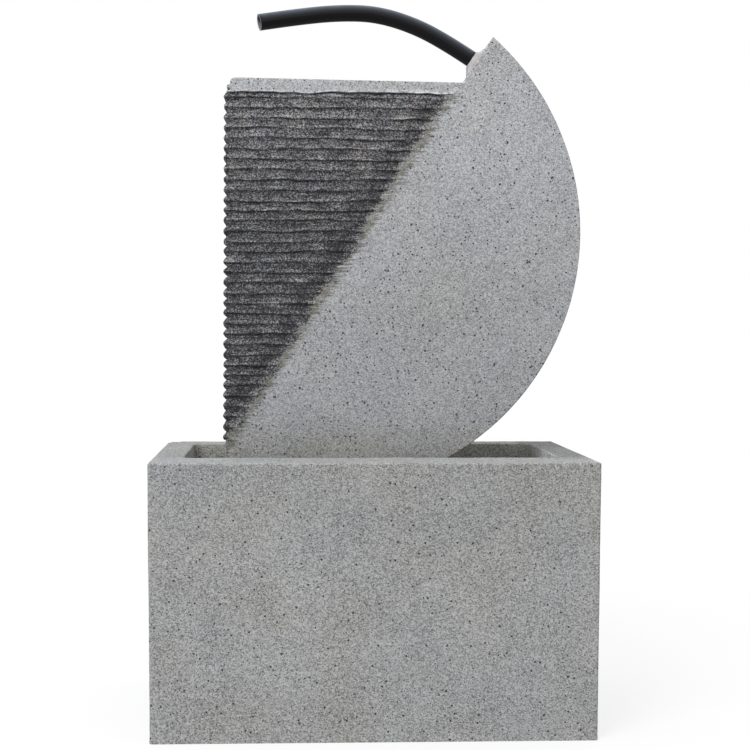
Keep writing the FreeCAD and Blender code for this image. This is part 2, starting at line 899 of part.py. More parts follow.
def make_rear_bush():
    """Rubber bush that seats the shaft in the end of the well."""
    length = well_depth - magnet_start - magnet_length - bush_end_gap
    return ring(along_pump(-well_depth), X_AXIS, length, well_radius - bush_grip, shaft_radius)


def make_front_bush():
    """Rubber bush that seats the shaft in the volute's boss."""
    start = volute_depth - boss_length
    length = boss_length - boss_cap
    return ring(along_pump(start), X_AXIS, length, boss_radius - boss_wall, shaft_radius)


def make_volute_cover():
    """Cover with the impeller's chamber, spoked intake, flange and outlet nozzle."""
    plate = pump_block(0, volute_flange, pump_width, pump_height)
    plate = plate.makeFillet(pump_corner_radius, edges_along(plate, X_AXIS))
    drum = rod(along_pump(0), X_AXIS, volute_depth, volute_bore_radius + volute_wall)
    nozzle = rod(along_pump(volute_depth / 2), Z_AXIS, nozzle_rise, nozzle_radius)
    cover = plate.fuse(drum).fuse(nozzle)
    cover = cover.cut(rod(along_pump(-1), X_AXIS, volute_depth - volute_face + 1, volute_bore_radius))
    cover = cover.cut(rod(along_pump(0), X_AXIS, volute_depth + 1, intake_radius))
    throat = rod(along_pump(volute_depth / 2), Z_AXIS, nozzle_rise + 1, nozzle_bore_radius)
    cover = cover.cut(throat)
    for place in screw_places():
        cover = cover.cut(rod(place, X_AXIS, volute_flange, screw_radius + screw_clearance))

    def spoke(turn):
        low = along_pump(volute_depth - volute_face, -spoke_width / 2, boss_radius - 1)
        arm = Part.makeBox(volute_face, spoke_width, intake_radius - boss_radius + 2, low)
        arm.rotate(along_pump(0), X_AXIS, turn)
        return arm

    boss = rod(along_pump(volute_depth - boss_length), X_AXIS, boss_length, boss_radius)
    cover = cover.multiFuse([boss] + ring_of(spoke_count, spoke))
    seat = rod(
        along_pump(volute_depth - boss_length), X_AXIS,
        boss_length - boss_cap, boss_radius - boss_wall,
    )
    return cover.cut(seat)


def make_volute_seal():
    """Rubber ring in the motor's groove, under the volute's flange."""
    return Part.makeTorus(seal_radius, seal_section, along_pump(-seal_section), X_AXIS)


def make_volute_screws():
    """Four stainless screws with pan heads."""
    screws = []
    for place in screw_places():
        head = rod(place + X_AXIS * volute_flange, X_AXIS, screw_head_height, screw_head_radius)
        shank_start = place + X_AXIS * volute_flange
        shank = rod(shank_start, -X_AXIS, volute_flange + screw_length - 1, screw_radius)
        screws.append(head.fuse(shank))
    return Part.makeCompound(screws)


def make_hose_tail():
    """Tail that screws on the nozzle, with barbs for the hose."""
    middle = along_pump(volute_depth / 2)
    base = middle + Z_AXIS * tail_collar_start
    shoulder = base + Z_AXIS * tail_collar_height
    collar = rod(base, Z_AXIS, tail_collar_height, tail_collar_radius)
    tail = collar.fuse(rod(shoulder, Z_AXIS, tail_length, tail_radius))
    for i in range(barb_count):
        root = shoulder + Z_AXIS * (tail_length - (i + 1) * barb_pitch + barb_pitch - barb_height)
        tail = tail.fuse(Part.makeCone(barb_radius, tail_radius, barb_height, root, Z_AXIS))
    socket_depth = nozzle_rise - tail_collar_start
    socket = rod(base, Z_AXIS, socket_depth, nozzle_radius + thread_clearance)
    bore = rod(base, Z_AXIS, tail_collar_height + tail_length, nozzle_bore_radius)
    return tail.cut(socket).cut(bore)


def clamp_middle():
    return vec(foot_mid_x, slab_mid_y, hose_start_z + clamp_rise)


def worm_axis_y():
    """The worm lies behind the band, on the side away from the viewer."""
    return hose_radius + clamp_fit + clamp_thickness + worm_housing_depth / 2


def make_hose_clamp():
    """Stainless band round the hose with the worm's housing on it."""
    low = clamp_middle() - Z_AXIS * (clamp_width / 2)
    inner = hose_radius + clamp_fit
    band = ring(low, Z_AXIS, clamp_width, inner + clamp_thickness, inner)
    y0 = slab_mid_y + hose_radius
    y1 = slab_mid_y + inner + clamp_thickness + worm_housing_depth
    half = worm_housing_length / 2
    housing = box(foot_mid_x - half, foot_mid_x + half, y0, y1, low.z, low.z + clamp_width)
    housing = housing.cut(rod(low, Z_AXIS, clamp_width, inner))
    start = clamp_middle() + vec(-half - 1, worm_axis_y(), 0)
    hole = rod(start, X_AXIS, worm_housing_length + 2, worm_radius + thread_clearance)
    return band.fuse(housing).cut(hole)


def make_clamp_worm():
    """Worm screw across the clamp, with a hexagon head."""
    half = worm_housing_length / 2
    shank = rod(clamp_middle() + vec(-half, worm_axis_y(), 0), X_AXIS, worm_housing_length, worm_radius)
    start = clamp_middle() + vec(half, worm_axis_y(), 0)
    points = []
    for turn in ring_of(6, math.radians):
        y = worm_head_radius * math.cos(turn)
        z = worm_head_radius * math.sin(turn)
        points.append(start + vec(0, y, z))
    return shank.fuse(prism(points, X_AXIS * worm_head_height))


def strainer_start():
    """Open end of the strainer, just clear of the volute's screw heads."""
    return volute_flange + screw_head_height + strainer_fit


def make_strainer():
    """Slotted box over the volute, open towards the motor and notched for the nozzle."""
    start = strainer_start()
    end = start + strainer_length
    body = pump_block(start, end, pump_width, pump_height)
    body = body.makeFillet(pump_corner_radius, edges_along(body, X_AXIS))
    room = pump_block(
        start - 1, end - strainer_wall,
        pump_width - 2 * strainer_wall, pump_height - 2 * strainer_wall,
    )
    room = room.makeFillet(pump_corner_radius - strainer_wall, edges_along(room, X_AXIS))
    body = body.cut(room)
    notch_half = nozzle_radius + nozzle_slot_clearance
    notch_end = volute_depth / 2 + notch_half
    low = along_pump(start - 1, -notch_half, 0)
    high = along_pump(notch_end, notch_half, pump_height / 2 + 1)
    body = body.cut(box(low.x, high.x, low.y, high.y, low.z, high.z))
    return body.cut(strainer_slots(start, end)).cut(strainer_ports(end))


def strainer_slots(start, end):
    """Rows of slots through both sides of the strainer."""
    slots = []
    rows = int((pump_height - 2 * slot_margin) / slot_pitch) + 1
    for i in range(rows):
        z = (i - (rows - 1) / 2) * slot_pitch
        low = along_pump(start + slot_margin, -pump_width / 2 - 1, z - slot_width / 2)
        high = along_pump(end - slot_margin, pump_width / 2 + 1, z + slot_width / 2)
        slots.append(box(low.x, high.x, low.y, high.y, low.z, high.z))
    return slots[0].multiFuse(slots[1:])


def port_at(distance, length, turn, radius):
    """A round port in the strainer's face or the dial."""
    angle = math.radians(turn)
    y = port_ring_radius * math.cos(angle)
    z = port_ring_radius * math.sin(angle)
    return rod(along_pump(distance, y, z), X_AXIS, length, radius)


def strainer_ports(end):
    """Ports under the dial, with the hole for its pin."""
    start = end - strainer_wall - 1
    length = strainer_wall + 2
    hole = rod(along_pump(start), X_AXIS, length, dial_pin_radius + dial_pin_clearance)
    return hole.multiFuse(ring_of(port_count, lambda turn: port_at(start, length, turn, port_radius)))


def make_flow_dial():
    """Dial that covers or clears the strainer's ports, snapped in by its pin."""
    face = strainer_start() + strainer_length + dial_gap
    disc = rod(along_pump(face), X_AXIS, dial_thickness, dial_radius)
    tab_low = along_pump(face, -dial_tab_width / 2, dial_radius - 1)
    tab = Part.makeBox(dial_thickness, dial_tab_width, dial_tab_length + 1, tab_low)
    pin_start = face - dial_gap - strainer_wall - dial_gap
    pin = rod(along_pump(pin_start), X_AXIS, face - pin_start, dial_pin_radius)
    catch = rod(along_pump(pin_start - dial_catch_length), X_AXIS, dial_catch_length, dial_catch_radius)
    dial = disc.multiFuse([tab, pin, catch])
    holes = ring_of(port_count, lambda turn: port_at(face - 1, dial_thickness + 2, turn, port_radius))
    return dial.cut(holes[0].multiFuse(holes[1:]))


PIECES = {
    "basin": make_basin,
    "drain_bush": make_drain_bush,
    "drain_plug": make_drain_plug,
    "drain_seal": make_drain_seal,
    "cable_grommet": make_cable_grommet,
    "plinth": make_plinth,
    "plinth_pads": make_plinth_pads,
    "slab_pads": make_slab_pads,
    "slab_dowels": make_slab_dowels,
    "half_moon_slab": make_slab,
    "ridged_face": make_ridged_face,
    "facing_pins": make_facing_pins,
    "spout_collar": make_spout_collar,
    "spout_hose": make_spout_hose,
    "riser_hose": make_riser_hose,
    "hose_tail": make_hose_tail,
    "hose_clamp": make_hose_clamp,
    "clamp_worm": make_clamp_worm,
    "pump_housing": make_pump_housing,
    "suction_cups": make_suction_cups,
    "cable_gland": make_cable_gland,
    "stator_core": make_stator_core,
    "stator_coil": make_stator_coil,
    "potting_resin": make_potting,
    "rotor_magnet": make_rotor_magnet,
    "impeller": make_impeller,
    "rotor_shaft": make_rotor_shaft,
    "rear_bush": make_rear_bush,
    "front_bush": make_front_bush,
    "volute_cover": make_volute_cover,
    "volute_seal": make_volute_seal,
    "volute_screws": make_volute_screws,
    "intake_strainer": make_strainer,
    "flow_dial": make_flow_dial,
}

os.makedirs("parts", exist_ok=True)
for name, make in PIECES.items():
    shape = make()
    shape.exportStep("parts/%s.step" % name)
    bounds = shape.BoundBox
    print(
        "%-16s solids %d valid %s volume %.0f mm3, x %.1f to %.1f, y %.1f to %.1f, z %.1f to %.1f"
        % (
            name, len(shape.Solids), shape.isValid(), shape.Volume,
            bounds.XMin, bounds.XMax, bounds.YMin, bounds.YMax, bounds.ZMin, bounds.ZMax,
        )
    )
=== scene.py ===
# %% [markdown]
# # Garden wall fountain
# The real fountain is cast from grey concrete: a trough, and in it a half-moon slab with a
# ridged, dark-stained water face. A black hose leaves the slab near its tip and pours down the
# ridges. The construction is already modelled at its true size. This lesson loads it, keeps
# its box, because nothing made here may be larger, and then gives each piece its real surface.

# %% Load the construction
import json
import math

import bpy
from mathutils import Matrix, Vector, noise


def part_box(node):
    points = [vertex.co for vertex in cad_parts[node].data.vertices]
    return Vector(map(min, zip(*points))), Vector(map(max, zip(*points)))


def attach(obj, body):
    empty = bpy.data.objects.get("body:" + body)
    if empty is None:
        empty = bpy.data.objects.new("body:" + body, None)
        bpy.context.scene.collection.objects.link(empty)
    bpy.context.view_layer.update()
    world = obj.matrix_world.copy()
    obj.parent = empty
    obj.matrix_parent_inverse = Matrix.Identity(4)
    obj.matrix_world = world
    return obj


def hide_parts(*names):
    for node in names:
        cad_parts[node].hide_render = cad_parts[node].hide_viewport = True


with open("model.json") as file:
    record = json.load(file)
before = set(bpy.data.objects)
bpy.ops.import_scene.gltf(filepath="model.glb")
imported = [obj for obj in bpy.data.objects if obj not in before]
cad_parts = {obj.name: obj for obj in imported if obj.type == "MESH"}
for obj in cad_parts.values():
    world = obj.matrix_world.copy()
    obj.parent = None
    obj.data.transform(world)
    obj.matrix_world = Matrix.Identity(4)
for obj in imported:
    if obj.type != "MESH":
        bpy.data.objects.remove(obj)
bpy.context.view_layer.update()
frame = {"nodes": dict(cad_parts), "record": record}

MM = 0.001

# %% [markdown]
# ## The camera
# The picture was taken from almost two metres in front of the trough, a little left of its
# middle and just above half the fountain's height. A camera could be set by eye, but the
# trough's corners give its place and turn exactly. The optical axis misses the middle of the
# picture, so the lens is shifted.

# %% Camera
camera_place = Vector((-141, -1990, 640)) * MM
camera_yaw = math.radians(1.96)
camera_pitch = math.radians(-0.52)
camera_roll = math.radians(0.16)
picture_pixels = 750
focal_pixels = 1189
axis_pixel = (325, 336.5)

bpy.ops.object.camera_add()
camera = bpy.context.object
camera.matrix_world = (
    Matrix.Translation(camera_place)
    @ Matrix.Rotation(-camera_yaw, 4, "Z")
    @ Matrix.Rotation(math.pi / 2 + camera_pitch, 4, "X")
    @ Matrix.Rotation(camera_roll, 4, "Z")
)
camera.data.lens = camera.data.sensor_width * focal_pixels / picture_pixels
camera.data.shift_x = 0.5 - axis_pixel[0] / picture_pixels
camera.data.shift_y = axis_pixel[1] / picture_pixels - 0.5
bpy.context.scene.camera = camera
print("lens, mm:", round(camera.data.lens, 1))

# %% [markdown]
# ## Helpers for selecting
# Blender's operators act on whatever is selected, and the loaded pieces arrive selected. Each
# step could select what it needs line by line. Short helpers do it instead: one takes a single
# piece, one all of its points, and one only the faces, edges or points that a rule picks.

# %% Select and edit
def select_only(piece):
    bpy.ops.object.select_all(action="DESELECT")
    piece.select_set(True)
    bpy.context.view_layer.objects.active = piece


def edit_all(piece):
    """Edit mode, with every point of the piece selected."""
    select_only(piece)
    bpy.ops.object.mode_set(mode="EDIT")
    bpy.ops.mesh.select_mode(type="VERT")
    bpy.ops.mesh.select_all(action="SELECT")


def finish_edit():
    bpy.ops.object.mode_set(mode="OBJECT")


def edit_chosen(piece, kind, chosen):
    """Edit mode, with only the faces, edges or points selected that chosen() says."""
    edit_all(piece)
    bpy.ops.mesh.select_mode(type=kind)
    bpy.ops.mesh.select_all(action="DESELECT")
    finish_edit()
    mesh = piece.data
    for element in {"VERT": mesh.vertices, "EDGE": mesh.edges, "FACE": mesh.polygons}[kind]:
        element.select = chosen(element)
    bpy.ops.object.mode_set(mode="EDIT")


# %% [markdown]
# ## Route of the hose
# The fountain's one free hose is smooth black PVC, 27 mm outside with a 20 mm bore. It leaves
# the mortar square to the slab's edge, climbs, bends over and droops a little towards its open
# mouth, stiff enough to carry itself. Straight runs with rounded corners would look like bent
# wire, so it is drawn as one smooth spline, which needs only a few points.

# %% Hose route
hose_radius = 13.5 * MM
hose_wall = 3.5 * MM
spout_nose = Vector((170.35, -5, 1086.84)) * MM
spout_square = Vector((-0.8387, 0, 0.5446))
first_run = 48 * MM
spout_offsets = (
    (-96.0, 0.0, 55.0),
    (-159.0, 0.0, 73.5),
    (-221.0, -0.5, 74.5),
    (-289.0, -4.0, 66.5),
    (-354.0, -19.0, 52.5),
)
route_points = [spout_nose, spout_nose + spout_square * first_run]
route_points += [spout_nose + Vector(offset) * MM for offset in spout_offsets]

route = bpy.data.objects.new("hose_route", bpy.data.curves.new("hose_route", "CURVE"))
bpy.context.scene.collection.objects.link(route)
route.data.dimensions = "3D"
route.data.resolution_u = 16
spline = route.data.splines.new("NURBS")
spline.points.add(len(route_points) - 1)
for knot, point in zip(spline.points, route_points):
    knot.co = (*point, 1)
spline.order_u = 3
spline.use_endpoint_u = True
centreline = [point.co.copy() for point in bpy.data.meshes.new_from_object(route).vertices]
spans = [(b - a).length for a, b in zip(centreline, centreline[1:])]
print("hose centreline, mm:", round(sum(spans) / MM, 1), "in", len(spans), "steps")

# %% [markdown]
# ## Wall and mouth of the hose
# A round bevel on the spline gives the outside. A solid rod could be hollowed with a Boolean,
# but the bevelled line has no ends yet, so it is turned into a mesh and thickened inwards: a
# real tube, whose open bore shows in the mouth. The inset draws the crisp edge of the cut.

# %% Hose tube
cut_edge = 0.5 * MM

route.data.bevel_depth = hose_radius
route.data.bevel_resolution = 10
hose = bpy.data.objects.new("hose", bpy.data.meshes.new_from_object(route))
bpy.context.scene.collection.objects.link(hose)
bpy.data.objects.remove(route)
select_only(hose)
wall = hose.modifiers.new("wall", "SOLIDIFY")
wall.thickness = hose_wall
wall.offset = -1
bpy.ops.object.modifier_apply(modifier=wall.name)
mouth_place = centreline[-1]
mouth_out = (centreline[-1] - centreline[-2]).normalized()


def at_mouth(face):
    return (face.center - mouth_place).length < 1.2 * hose_radius and face.normal.dot(mouth_out) > 0.9


edit_chosen(hose, "FACE", at_mouth)
bpy.ops.mesh.inset(thickness=cut_edge, use_boundary=True)
finish_edit()
bpy.ops.object.shade_smooth_by_angle(angle=math.radians(50))
print("faces of the cut:", sum(at_mouth(face) for face in hose.data.polygons))

# %% [markdown]
# ## Marks that a material reads
# The upper side of the hose carries a painted bluish highlight, a painted reflection of the bright
# sky above it, and hard water leaves lime in its mouth. A texture could be painted for them. One
# number on each point is lighter and goes with the shape: the painted sheen says how far the point
# looks up, and lime how much of it lies there.

# %% Painted sheen and lime on the hose
lime_reach = 12 * MM


def clamp(value, low=0.0, high=1.0):
    return max(low, min(high, value))


def ease(low, high, value):
    """0 below low, 1 above high, and a smooth step between them."""
    t = clamp((value - low) / (high - low))
    return t * t * (3 - 2 * t)


def store(piece, name, values):
    """Keeps one number for each point on the mesh, for a material to read."""
    piece.data.attributes.new(name, "FLOAT", "POINT").data.foreach_set("value", values)
    print(piece.name, "has", name, "up to", round(max(values), 2))


def lime_share(place):
    """Most at the back of the bore and of the cut, less deep inside, none on the outside."""
    reach = place - mouth_place
    depth = -reach.dot(mouth_out)
    sideways = reach + mouth_out * depth
    if reach.length > 2 * lime_reach or sideways.length > hose_radius - 0.3 * MM:
        return 0.0
    behind = clamp(1.1 * sideways.y / hose_radius - 0.1)
    return behind * (1 - ease(0, lime_reach, depth))


# painted sheen: the more a point of the hose looks up, the more painted bluish highlight it gets
store(hose, "painted_sheen", [clamp(point.normal.z) ** 1.6 for point in hose.data.vertices])
store(hose, "lime", [lime_share(point.co) for point in hose.data.vertices])
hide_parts("spout_hose")
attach(hose, "fountain")

# %% [markdown]
# ## Cells for wear
# A cast face is never quite flat and its edges are never quite sharp. Moving points can show
# that, but the solids have points only at their corners. A remesh would give even cells but
# round every edge. So a clean copy of the solid is cut by planes instead, which keeps the form,
# and a rule then moves each point a little.

# %% Copy a solid, cut it and move its points
def clean_copy(node, name):
    """A copy of a loaded solid whose loose triangles are merged and joined into flat faces."""
    mesh = frame["nodes"][node].data.copy()
    piece = bpy.data.objects.new(name, mesh)
    bpy.context.scene.collection.objects.link(piece)
    edit_all(piece)
    bpy.ops.mesh.customdata_custom_splitnormals_clear()
    bpy.ops.mesh.remove_doubles(threshold=0.01 * MM)
    bpy.ops.mesh.dissolve_limited(angle_limit=math.radians(0.5))
    finish_edit()
    return piece


def cut_into_cells(piece, cell):
    """Cuts a piece by planes across X, Y and Z, one cell apart."""
    points = [point.co.copy() for point in piece.data.vertices]
    edit_all(piece)
    for axis in range(3):
        low = min(point[axis] for point in points)
        high = max(point[axis] for point in points)
        count = max(1, round((high - low) / cell))
        normal = Vector((0, 0, 0))
        normal[axis] = 1
        for step in range(1, count):
            place = normal * (low + (high - low) * step / count)
            bpy.ops.mesh.select_all(action="SELECT")
            bpy.ops.mesh.bisect(plane_co=place, plane_no=normal)
    finish_edit()
    print(piece.name, "has", len(piece.data.polygons), "faces")


def move_points(piece, shift):
    """Moves each point by what shift(place, normal) gives."""
    shifts = [shift(point.co, point.normal) for point in piece.data.vertices]
    for point, step in zip(piece.data.vertices, shifts):
        point.co = point.co + step


def wave(place, length, seed=0.0):
    """Smooth noise from -1 to 1 that swings over about that length."""
    return noise.noise(place / length + Vector((seed, seed * 1.7, seed * 0.3)))


# %% [markdown]
# ## The trough
# It came out of its mould with flat sides that wander by less than a millimetre, arrises that
# are never quite straight, and one knocked corner at the back. A bevel would make every arris
# alike, so noise moves the points instead. The faces that stand on the ground and against the
# wall stay flat, and all else only moves inwards, so the size stays true.

# %% Trough
trough_low, trough_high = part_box("basin")
trough_cell = 9 * MM
sway_depth, sway_length = 0.9 * MM, 110 * MM
grit_depth, grit_length = 0.5 * MM, 12 * MM
corner_chip_depth, corner_chip_length = 3.5 * MM, 26 * MM
chip_grain = 8 * MM


def inward(place, normal, sway=sway_depth, grit=grit_depth):
    """A cast face's own unevenness: long sways and small grit, never outwards."""
    long_sway = 0.5 + 0.5 * wave(place, sway_length)
    small_grit = 0.5 + 0.5 * wave(place, grit_length, 3.1)
    return -normal * (sway * long_sway + grit * small_grit)


def trough_wear(place, normal):
    flat_back = normal.y > 0.9 and place.y > trough_high.y - MM
    if normal.z < -0.3 or flat_back:
        return Vector((0, 0, 0))
    step = inward(place, normal)
    corner = Vector((trough_low.x, trough_high.y, trough_high.z))
    chip = 1 - ease(0, corner_chip_length, (place - corner).length)
    step.z -= corner_chip_depth * chip * (0.7 + 0.3 * wave(place, chip_grain, 5.0))
    return step


trough = clean_copy("basin", "trough")
cut_into_cells(trough, trough_cell)
move_points(trough, trough_wear)
select_only(trough)
bpy.ops.object.shade_smooth_by_angle(angle=math.radians(32))
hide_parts("basin")
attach(trough, "fountain")

# %% [markdown]
# ## The half-moon slab
# The same cast concrete, 70 mm thick. Its plain top band overhangs the ridges a little, and
# the band's lower lip is ragged where the ridges were combed into the wet concrete below it.
# The lip could be cut out of a finer mesh. Lifting and lowering the few points along it does
# as well. Round the corner, on the left end of the band, the comb went on up to the top, so
# that end is cut finer and notched.

# %% Places on the slab
slab_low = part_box("half_moon_slab")[0]
face_low, face_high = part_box("ridged_face")
lip_z = face_high.z
band_end = 24 * MM
notch_pitch = 9.5 * MM
chord_lean = math.radians(57)
chord_start = 7 * MM
chord_foot = Vector((slab_low.x + chord_start, 0, face_low.z))
chord_along = Vector((math.cos(chord_lean), 0, math.sin(chord_lean)))
chord_out = Vector((-chord_along.z, 0, chord_along.x))


def chord_x(z):
    """X of the slab's straight slanting edge at a height."""
    return chord_foot.x + (z - chord_foot.z) / math.tan(chord_lean)


def on_band_end(place):
    return place.z > lip_z + 0.1 * MM and place.x < slab_low.x + band_end


def notch_share(z):
    """1 in the bottom of a notch of the band's end, and 0 half-way between two."""
    turn = (z - lip_z) / notch_pitch
    return 1 - 2 * abs(turn - math.floor(turn) - 0.5)


print("height of the band's lip, mm:", round(lip_z / MM, 1))

# %% Rules for the slab's wear
slab_sway, slab_grit = 0.5 * MM, 0.35 * MM
chord_margin = 2 * MM
calm_share = 0.2
lip_layer = 8 * MM
lip_edge = 2.5 * MM
lip_wave_depth, long_wave, short_wave = 4.6 * MM, 55 * MM, 17 * MM
lip_reach = 13 * MM
lip_fade = 12 * MM
notch_depth = 5.0 * MM
corner_wear, worn_low, worn_high = 6.0 * MM, 6 * MM, 26 * MM
# the painted highlight along the band's lip: how far it reaches up and along
highlight_layer = 2 * MM
highlight_low, highlight_high = 1 * MM, 5 * MM
highlight_left, highlight_right = -150 * MM, 50 * MM


def lip_wave(x):
    """Height of the ragged lip above its mean line, along the slab."""
    along = Vector((x, 0, 0))
    return lip_wave_depth * (0.75 * wave(along, long_wave, 2.0) + 0.4 * wave(along, short_wave, 7.0))


def slab_wear(place, normal):
    step = inward(place, normal, slab_sway, slab_grit)
    near_chord = abs((place - chord_foot).dot(chord_out)) < chord_margin
    if near_chord or normal.z < -0.9 or place.z < face_low.z:
        step = step * calm_share
    on_lip = 1 - ease(0, lip_reach, abs(place.z - lip_z - 0.5 * lip_edge) - 0.5 * lip_edge)
    left_of_chord = ease(0, lip_fade, chord_x(place.z) - place.x)
    if place.y < slab_low.y + lip_layer:
        step.z += lip_wave(place.x) * on_lip * left_of_chord
    if on_band_end(place):
        at_end = 1 - ease(0, 0.4 * band_end, place.x - slab_low.x)
        notch = notch_depth * notch_share(place.z) ** 2
        step += Vector((notch * clamp(-normal.x + at_end), 0, 0))
        worn = ease(worn_low, worn_high, place.z - lip_z) * at_end
        step += Vector((corner_wear * worn, 0, 0))
    return step


def lip_highlight(place):
    """Painted highlight: 1 along the lip of the band, and towards the right some of that just above it too.
    """
    behind = place.y > slab_low.y + highlight_layer
    if behind or place.z < lip_z - 0.1 * MM or place.x > chord_x(lip_z):
        return 0.0
    above = 1 - ease(highlight_low, highlight_high, place.z - lip_z)
    return max(above * ease(highlight_left, highlight_right, place.x), float(place.z < lip_z + 0.1 * MM))


# %% Half-moon slab
slab_cell = 8 * MM
cuts_per_notch = 5


def cut_at_heights(piece, heights, chosen):
    """Cuts only the chosen faces, at each of those heights."""
    for height in heights:
        edit_chosen(piece, "FACE", chosen)
        bpy.ops.mesh.bisect(plane_co=(0, 0, height), plane_no=(0, 0, 1))
        finish_edit()


slab = clean_copy("half_moon_slab", "slab")
cut_into_cells(slab, slab_cell)
cut_at_heights(slab, [lip_z + lip_edge], lambda face: abs(face.center.z - lip_z) < 2 * slab_cell)
notch_heights = [lip_z + notch_pitch * step / cuts_per_notch for step in range(2, 14)]
cut_at_heights(slab, notch_heights, lambda face: on_band_end(face.center))
slab_flat = [point.co.copy() for point in slab.data.vertices]
move_points(slab, slab_wear)
# a painted highlight along the lip of the band, where its edge catches the light
store(slab, "painted_light", [lip_highlight(place) for place in slab_flat])
select_only(slab)
bpy.ops.object.shade_smooth_by_angle(angle=math.radians(32))
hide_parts("half_moon_slab")
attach(slab, "fountain")
print("slab, with its lip and notches:", len(slab.data.polygons), "faces")

# %% [markdown]
# ## The ridged face
# Thirty-four rough courses, about 17 mm apart, run over the front and turn the left corner.
# On the front each one bulges slowly out to its crest and drops back under it in a short lip.
# Displacing an even grid would leave the lips jagged, because they wander between its rows.
# So the rows of the sheet are laid along the courses, closest together at the lips. The sheet
# is then cut to the slant and folded round the corner, and a formula gives it its depth.

# %% Rules for the rows
ridge_pitch = 16.9 * MM
first_crest_z = face_high.z - 7.0 * MM
crest_wander = 6.0 * MM
corner_calm = 30 * MM
row_bunching = 0.1


def course_noise(along, z, length, height, seed):
    """Noise from -1 to 1 in patches of that length along the courses and that height."""
    return noise.noise(Vector((along / length, seed, z / height)))


def wander(along, z):
    """How far a crest strays up or down from its even place."""
    drift = 0.8 * course_noise(along, z, 110 * MM, 32 * MM, 0)
    ripple = 0.28 * course_noise(along, z, 22 * MM, 12 * MM, 4.0)
    calm = 1 - 0.6 * math.exp(-abs(along) / corner_calm)
    settled = 0.4 + 0.6 * ease(0, 20 * MM, face_high.z - z)
    return crest_wander * (drift + ripple) * calm * settled


def course_turn(z):
    """Where an even row lies between crests: whole numbers are crests, counted downwards."""
    turn = (first_crest_z - z) / ridge_pitch
    return turn - row_bunching * math.sin(2 * math.pi * turn)


# %% Sheet for the ridged face, two courses higher than the face
course_count = 36
rows_per_course = 12
along_step = 2.2 * MM
past_slant = 6 * MM
front_length = chord_x(face_high.z) + past_slant - face_low.x
side_length = face_high.y - face_low.y
sheet_length = front_length + side_length
sheet_height = course_count * ridge_pitch
sheet_top = first_crest_z + ridge_pitch

bpy.ops.object.select_all(action="DESELECT")
bpy.ops.mesh.primitive_grid_add(
    size=1,
    x_subdivisions=round(sheet_length / along_step),
    y_subdivisions=course_count * rows_per_course,
    location=(face_low.x - side_length + sheet_length / 2, face_low.y, sheet_top - sheet_height / 2),
    rotation=(math.pi / 2, 0, 0),
)
ridges = bpy.context.object
ridges.name = "ridges"
ridges.scale = (sheet_length, sheet_height, 1)
bpy.ops.object.transform_apply(location=True, rotation=True, scale=True)
turns = [course_turn(point.co.z) for point in ridges.data.vertices]
store(ridges, "turn", turns)
for point, turn in zip(ridges.data.vertices, turns):
    even_z = first_crest_z - turn * ridge_pitch
    point.co.z = even_z + wander(point.co.x - face_low.x, even_z)

# %% Cut to the slant, and folded round the corner
tuck_under_band = 5.0 * MM
cuts = (
    (chord_foot + Vector((0, face_low.y, 0)), -chord_out, True),
    (Vector((0, 0, face_low.z)), Vector((0, 0, -1)), True),
    (Vector((0, 0, face_high.z + tuck_under_band)), Vector((0, 0, 1)), True),
    (Vector((face_low.x, 0, 0)), Vector((1, 0, 0)), False),
)
edit_all(ridges)
for place, normal, clear in cuts:
    bpy.ops.mesh.select_all(action="SELECT")
    bpy.ops.mesh.bisect(plane_co=place, plane_no=normal, clear_outer=clear)
finish_edit()
edit_chosen(ridges, "VERT", lambda point: point.co.x < face_low.x - 0.01 * MM)
bpy.ops.transform.rotate(
    value=math.pi / 2, orient_axis="Z", orient_type="GLOBAL",
    center_override=(face_low.x, face_low.y, 0),
)
finish_edit()
print("ridges sheet:", len(ridges.data.polygons), "faces")
for axis in range(3):
    values = [point.co[axis] for point in ridges.data.vertices]
    print("XYZ"[axis], round(min(values) / MM, 1), round(max(values) / MM, 1))

# %% [markdown]
# ## Depth of each course
# At the corner and on the left side, the comb was drawn round the stone and left round crests
# and sharp valleys, alike above and below. On the front the courses look more like shingles.
# One swept profile would make them all alike. Here the depth goes from one profile to the other
# over the first centimetres, and noise makes every stretch of a course deeper or fainter than
# the next. Here and there a second lip splits off.

# %% Profiles of a course
corner_fade = 16 * MM
lip_share = 0.19


def on_left_side(place):
    return place.y > face_low.y + 0.01 * MM


def course_place(place):
    """Distance along a course, counted from the corner and negative on the left side."""
    return face_low.y - place.y if on_left_side(place) else place.x - face_low.x


def corner_share(along):
    """1 on the left side and at the corner, and less and less along the front."""
    return 1.0 if along < 0 else math.exp(-along / corner_fade)


def corner_profile(part):
    """Depth from 0 at a crest to 1 in a valley: round crests, sharp valleys."""
    half = min(part, 1 - part)
    return 1 - math.cos(math.pi * half)


def front_profile(part):
    """Depth of a short lip under the crest, then of the long face that bulges out again."""
    if part < lip_share:
        return ease(0, 1, part / lip_share)
    return ((1 - part) / (1 - lip_share)) ** 1.5


def second_lip(along, z, part):
    """1 in the small extra lip that splits some courses in the middle, and mostly 0."""
    chosen = clamp(2.6 * course_noise(along, z, 50 * MM, 16 * MM, 8.0) - 0.1)
    middle = part - 0.5
    return chosen * ease(0, 0.09, middle) * (1 - ease(0.1, 0.4, middle))


# %% Depth of a point
corner_depth = 5.4 * MM
front_depth = 3.1 * MM
corner_rounding, corner_edge = 1.3 * MM, 5 * MM
face_lumps, lump_length = 1.2 * MM, 13 * MM
face_grit, coarse_length = 1.0 * MM, 6.5 * MM
fine_grit, fine_length = 0.3 * MM, 3.4 * MM
comb_scratch = 0.8 * MM
side_tuck = 6 * MM


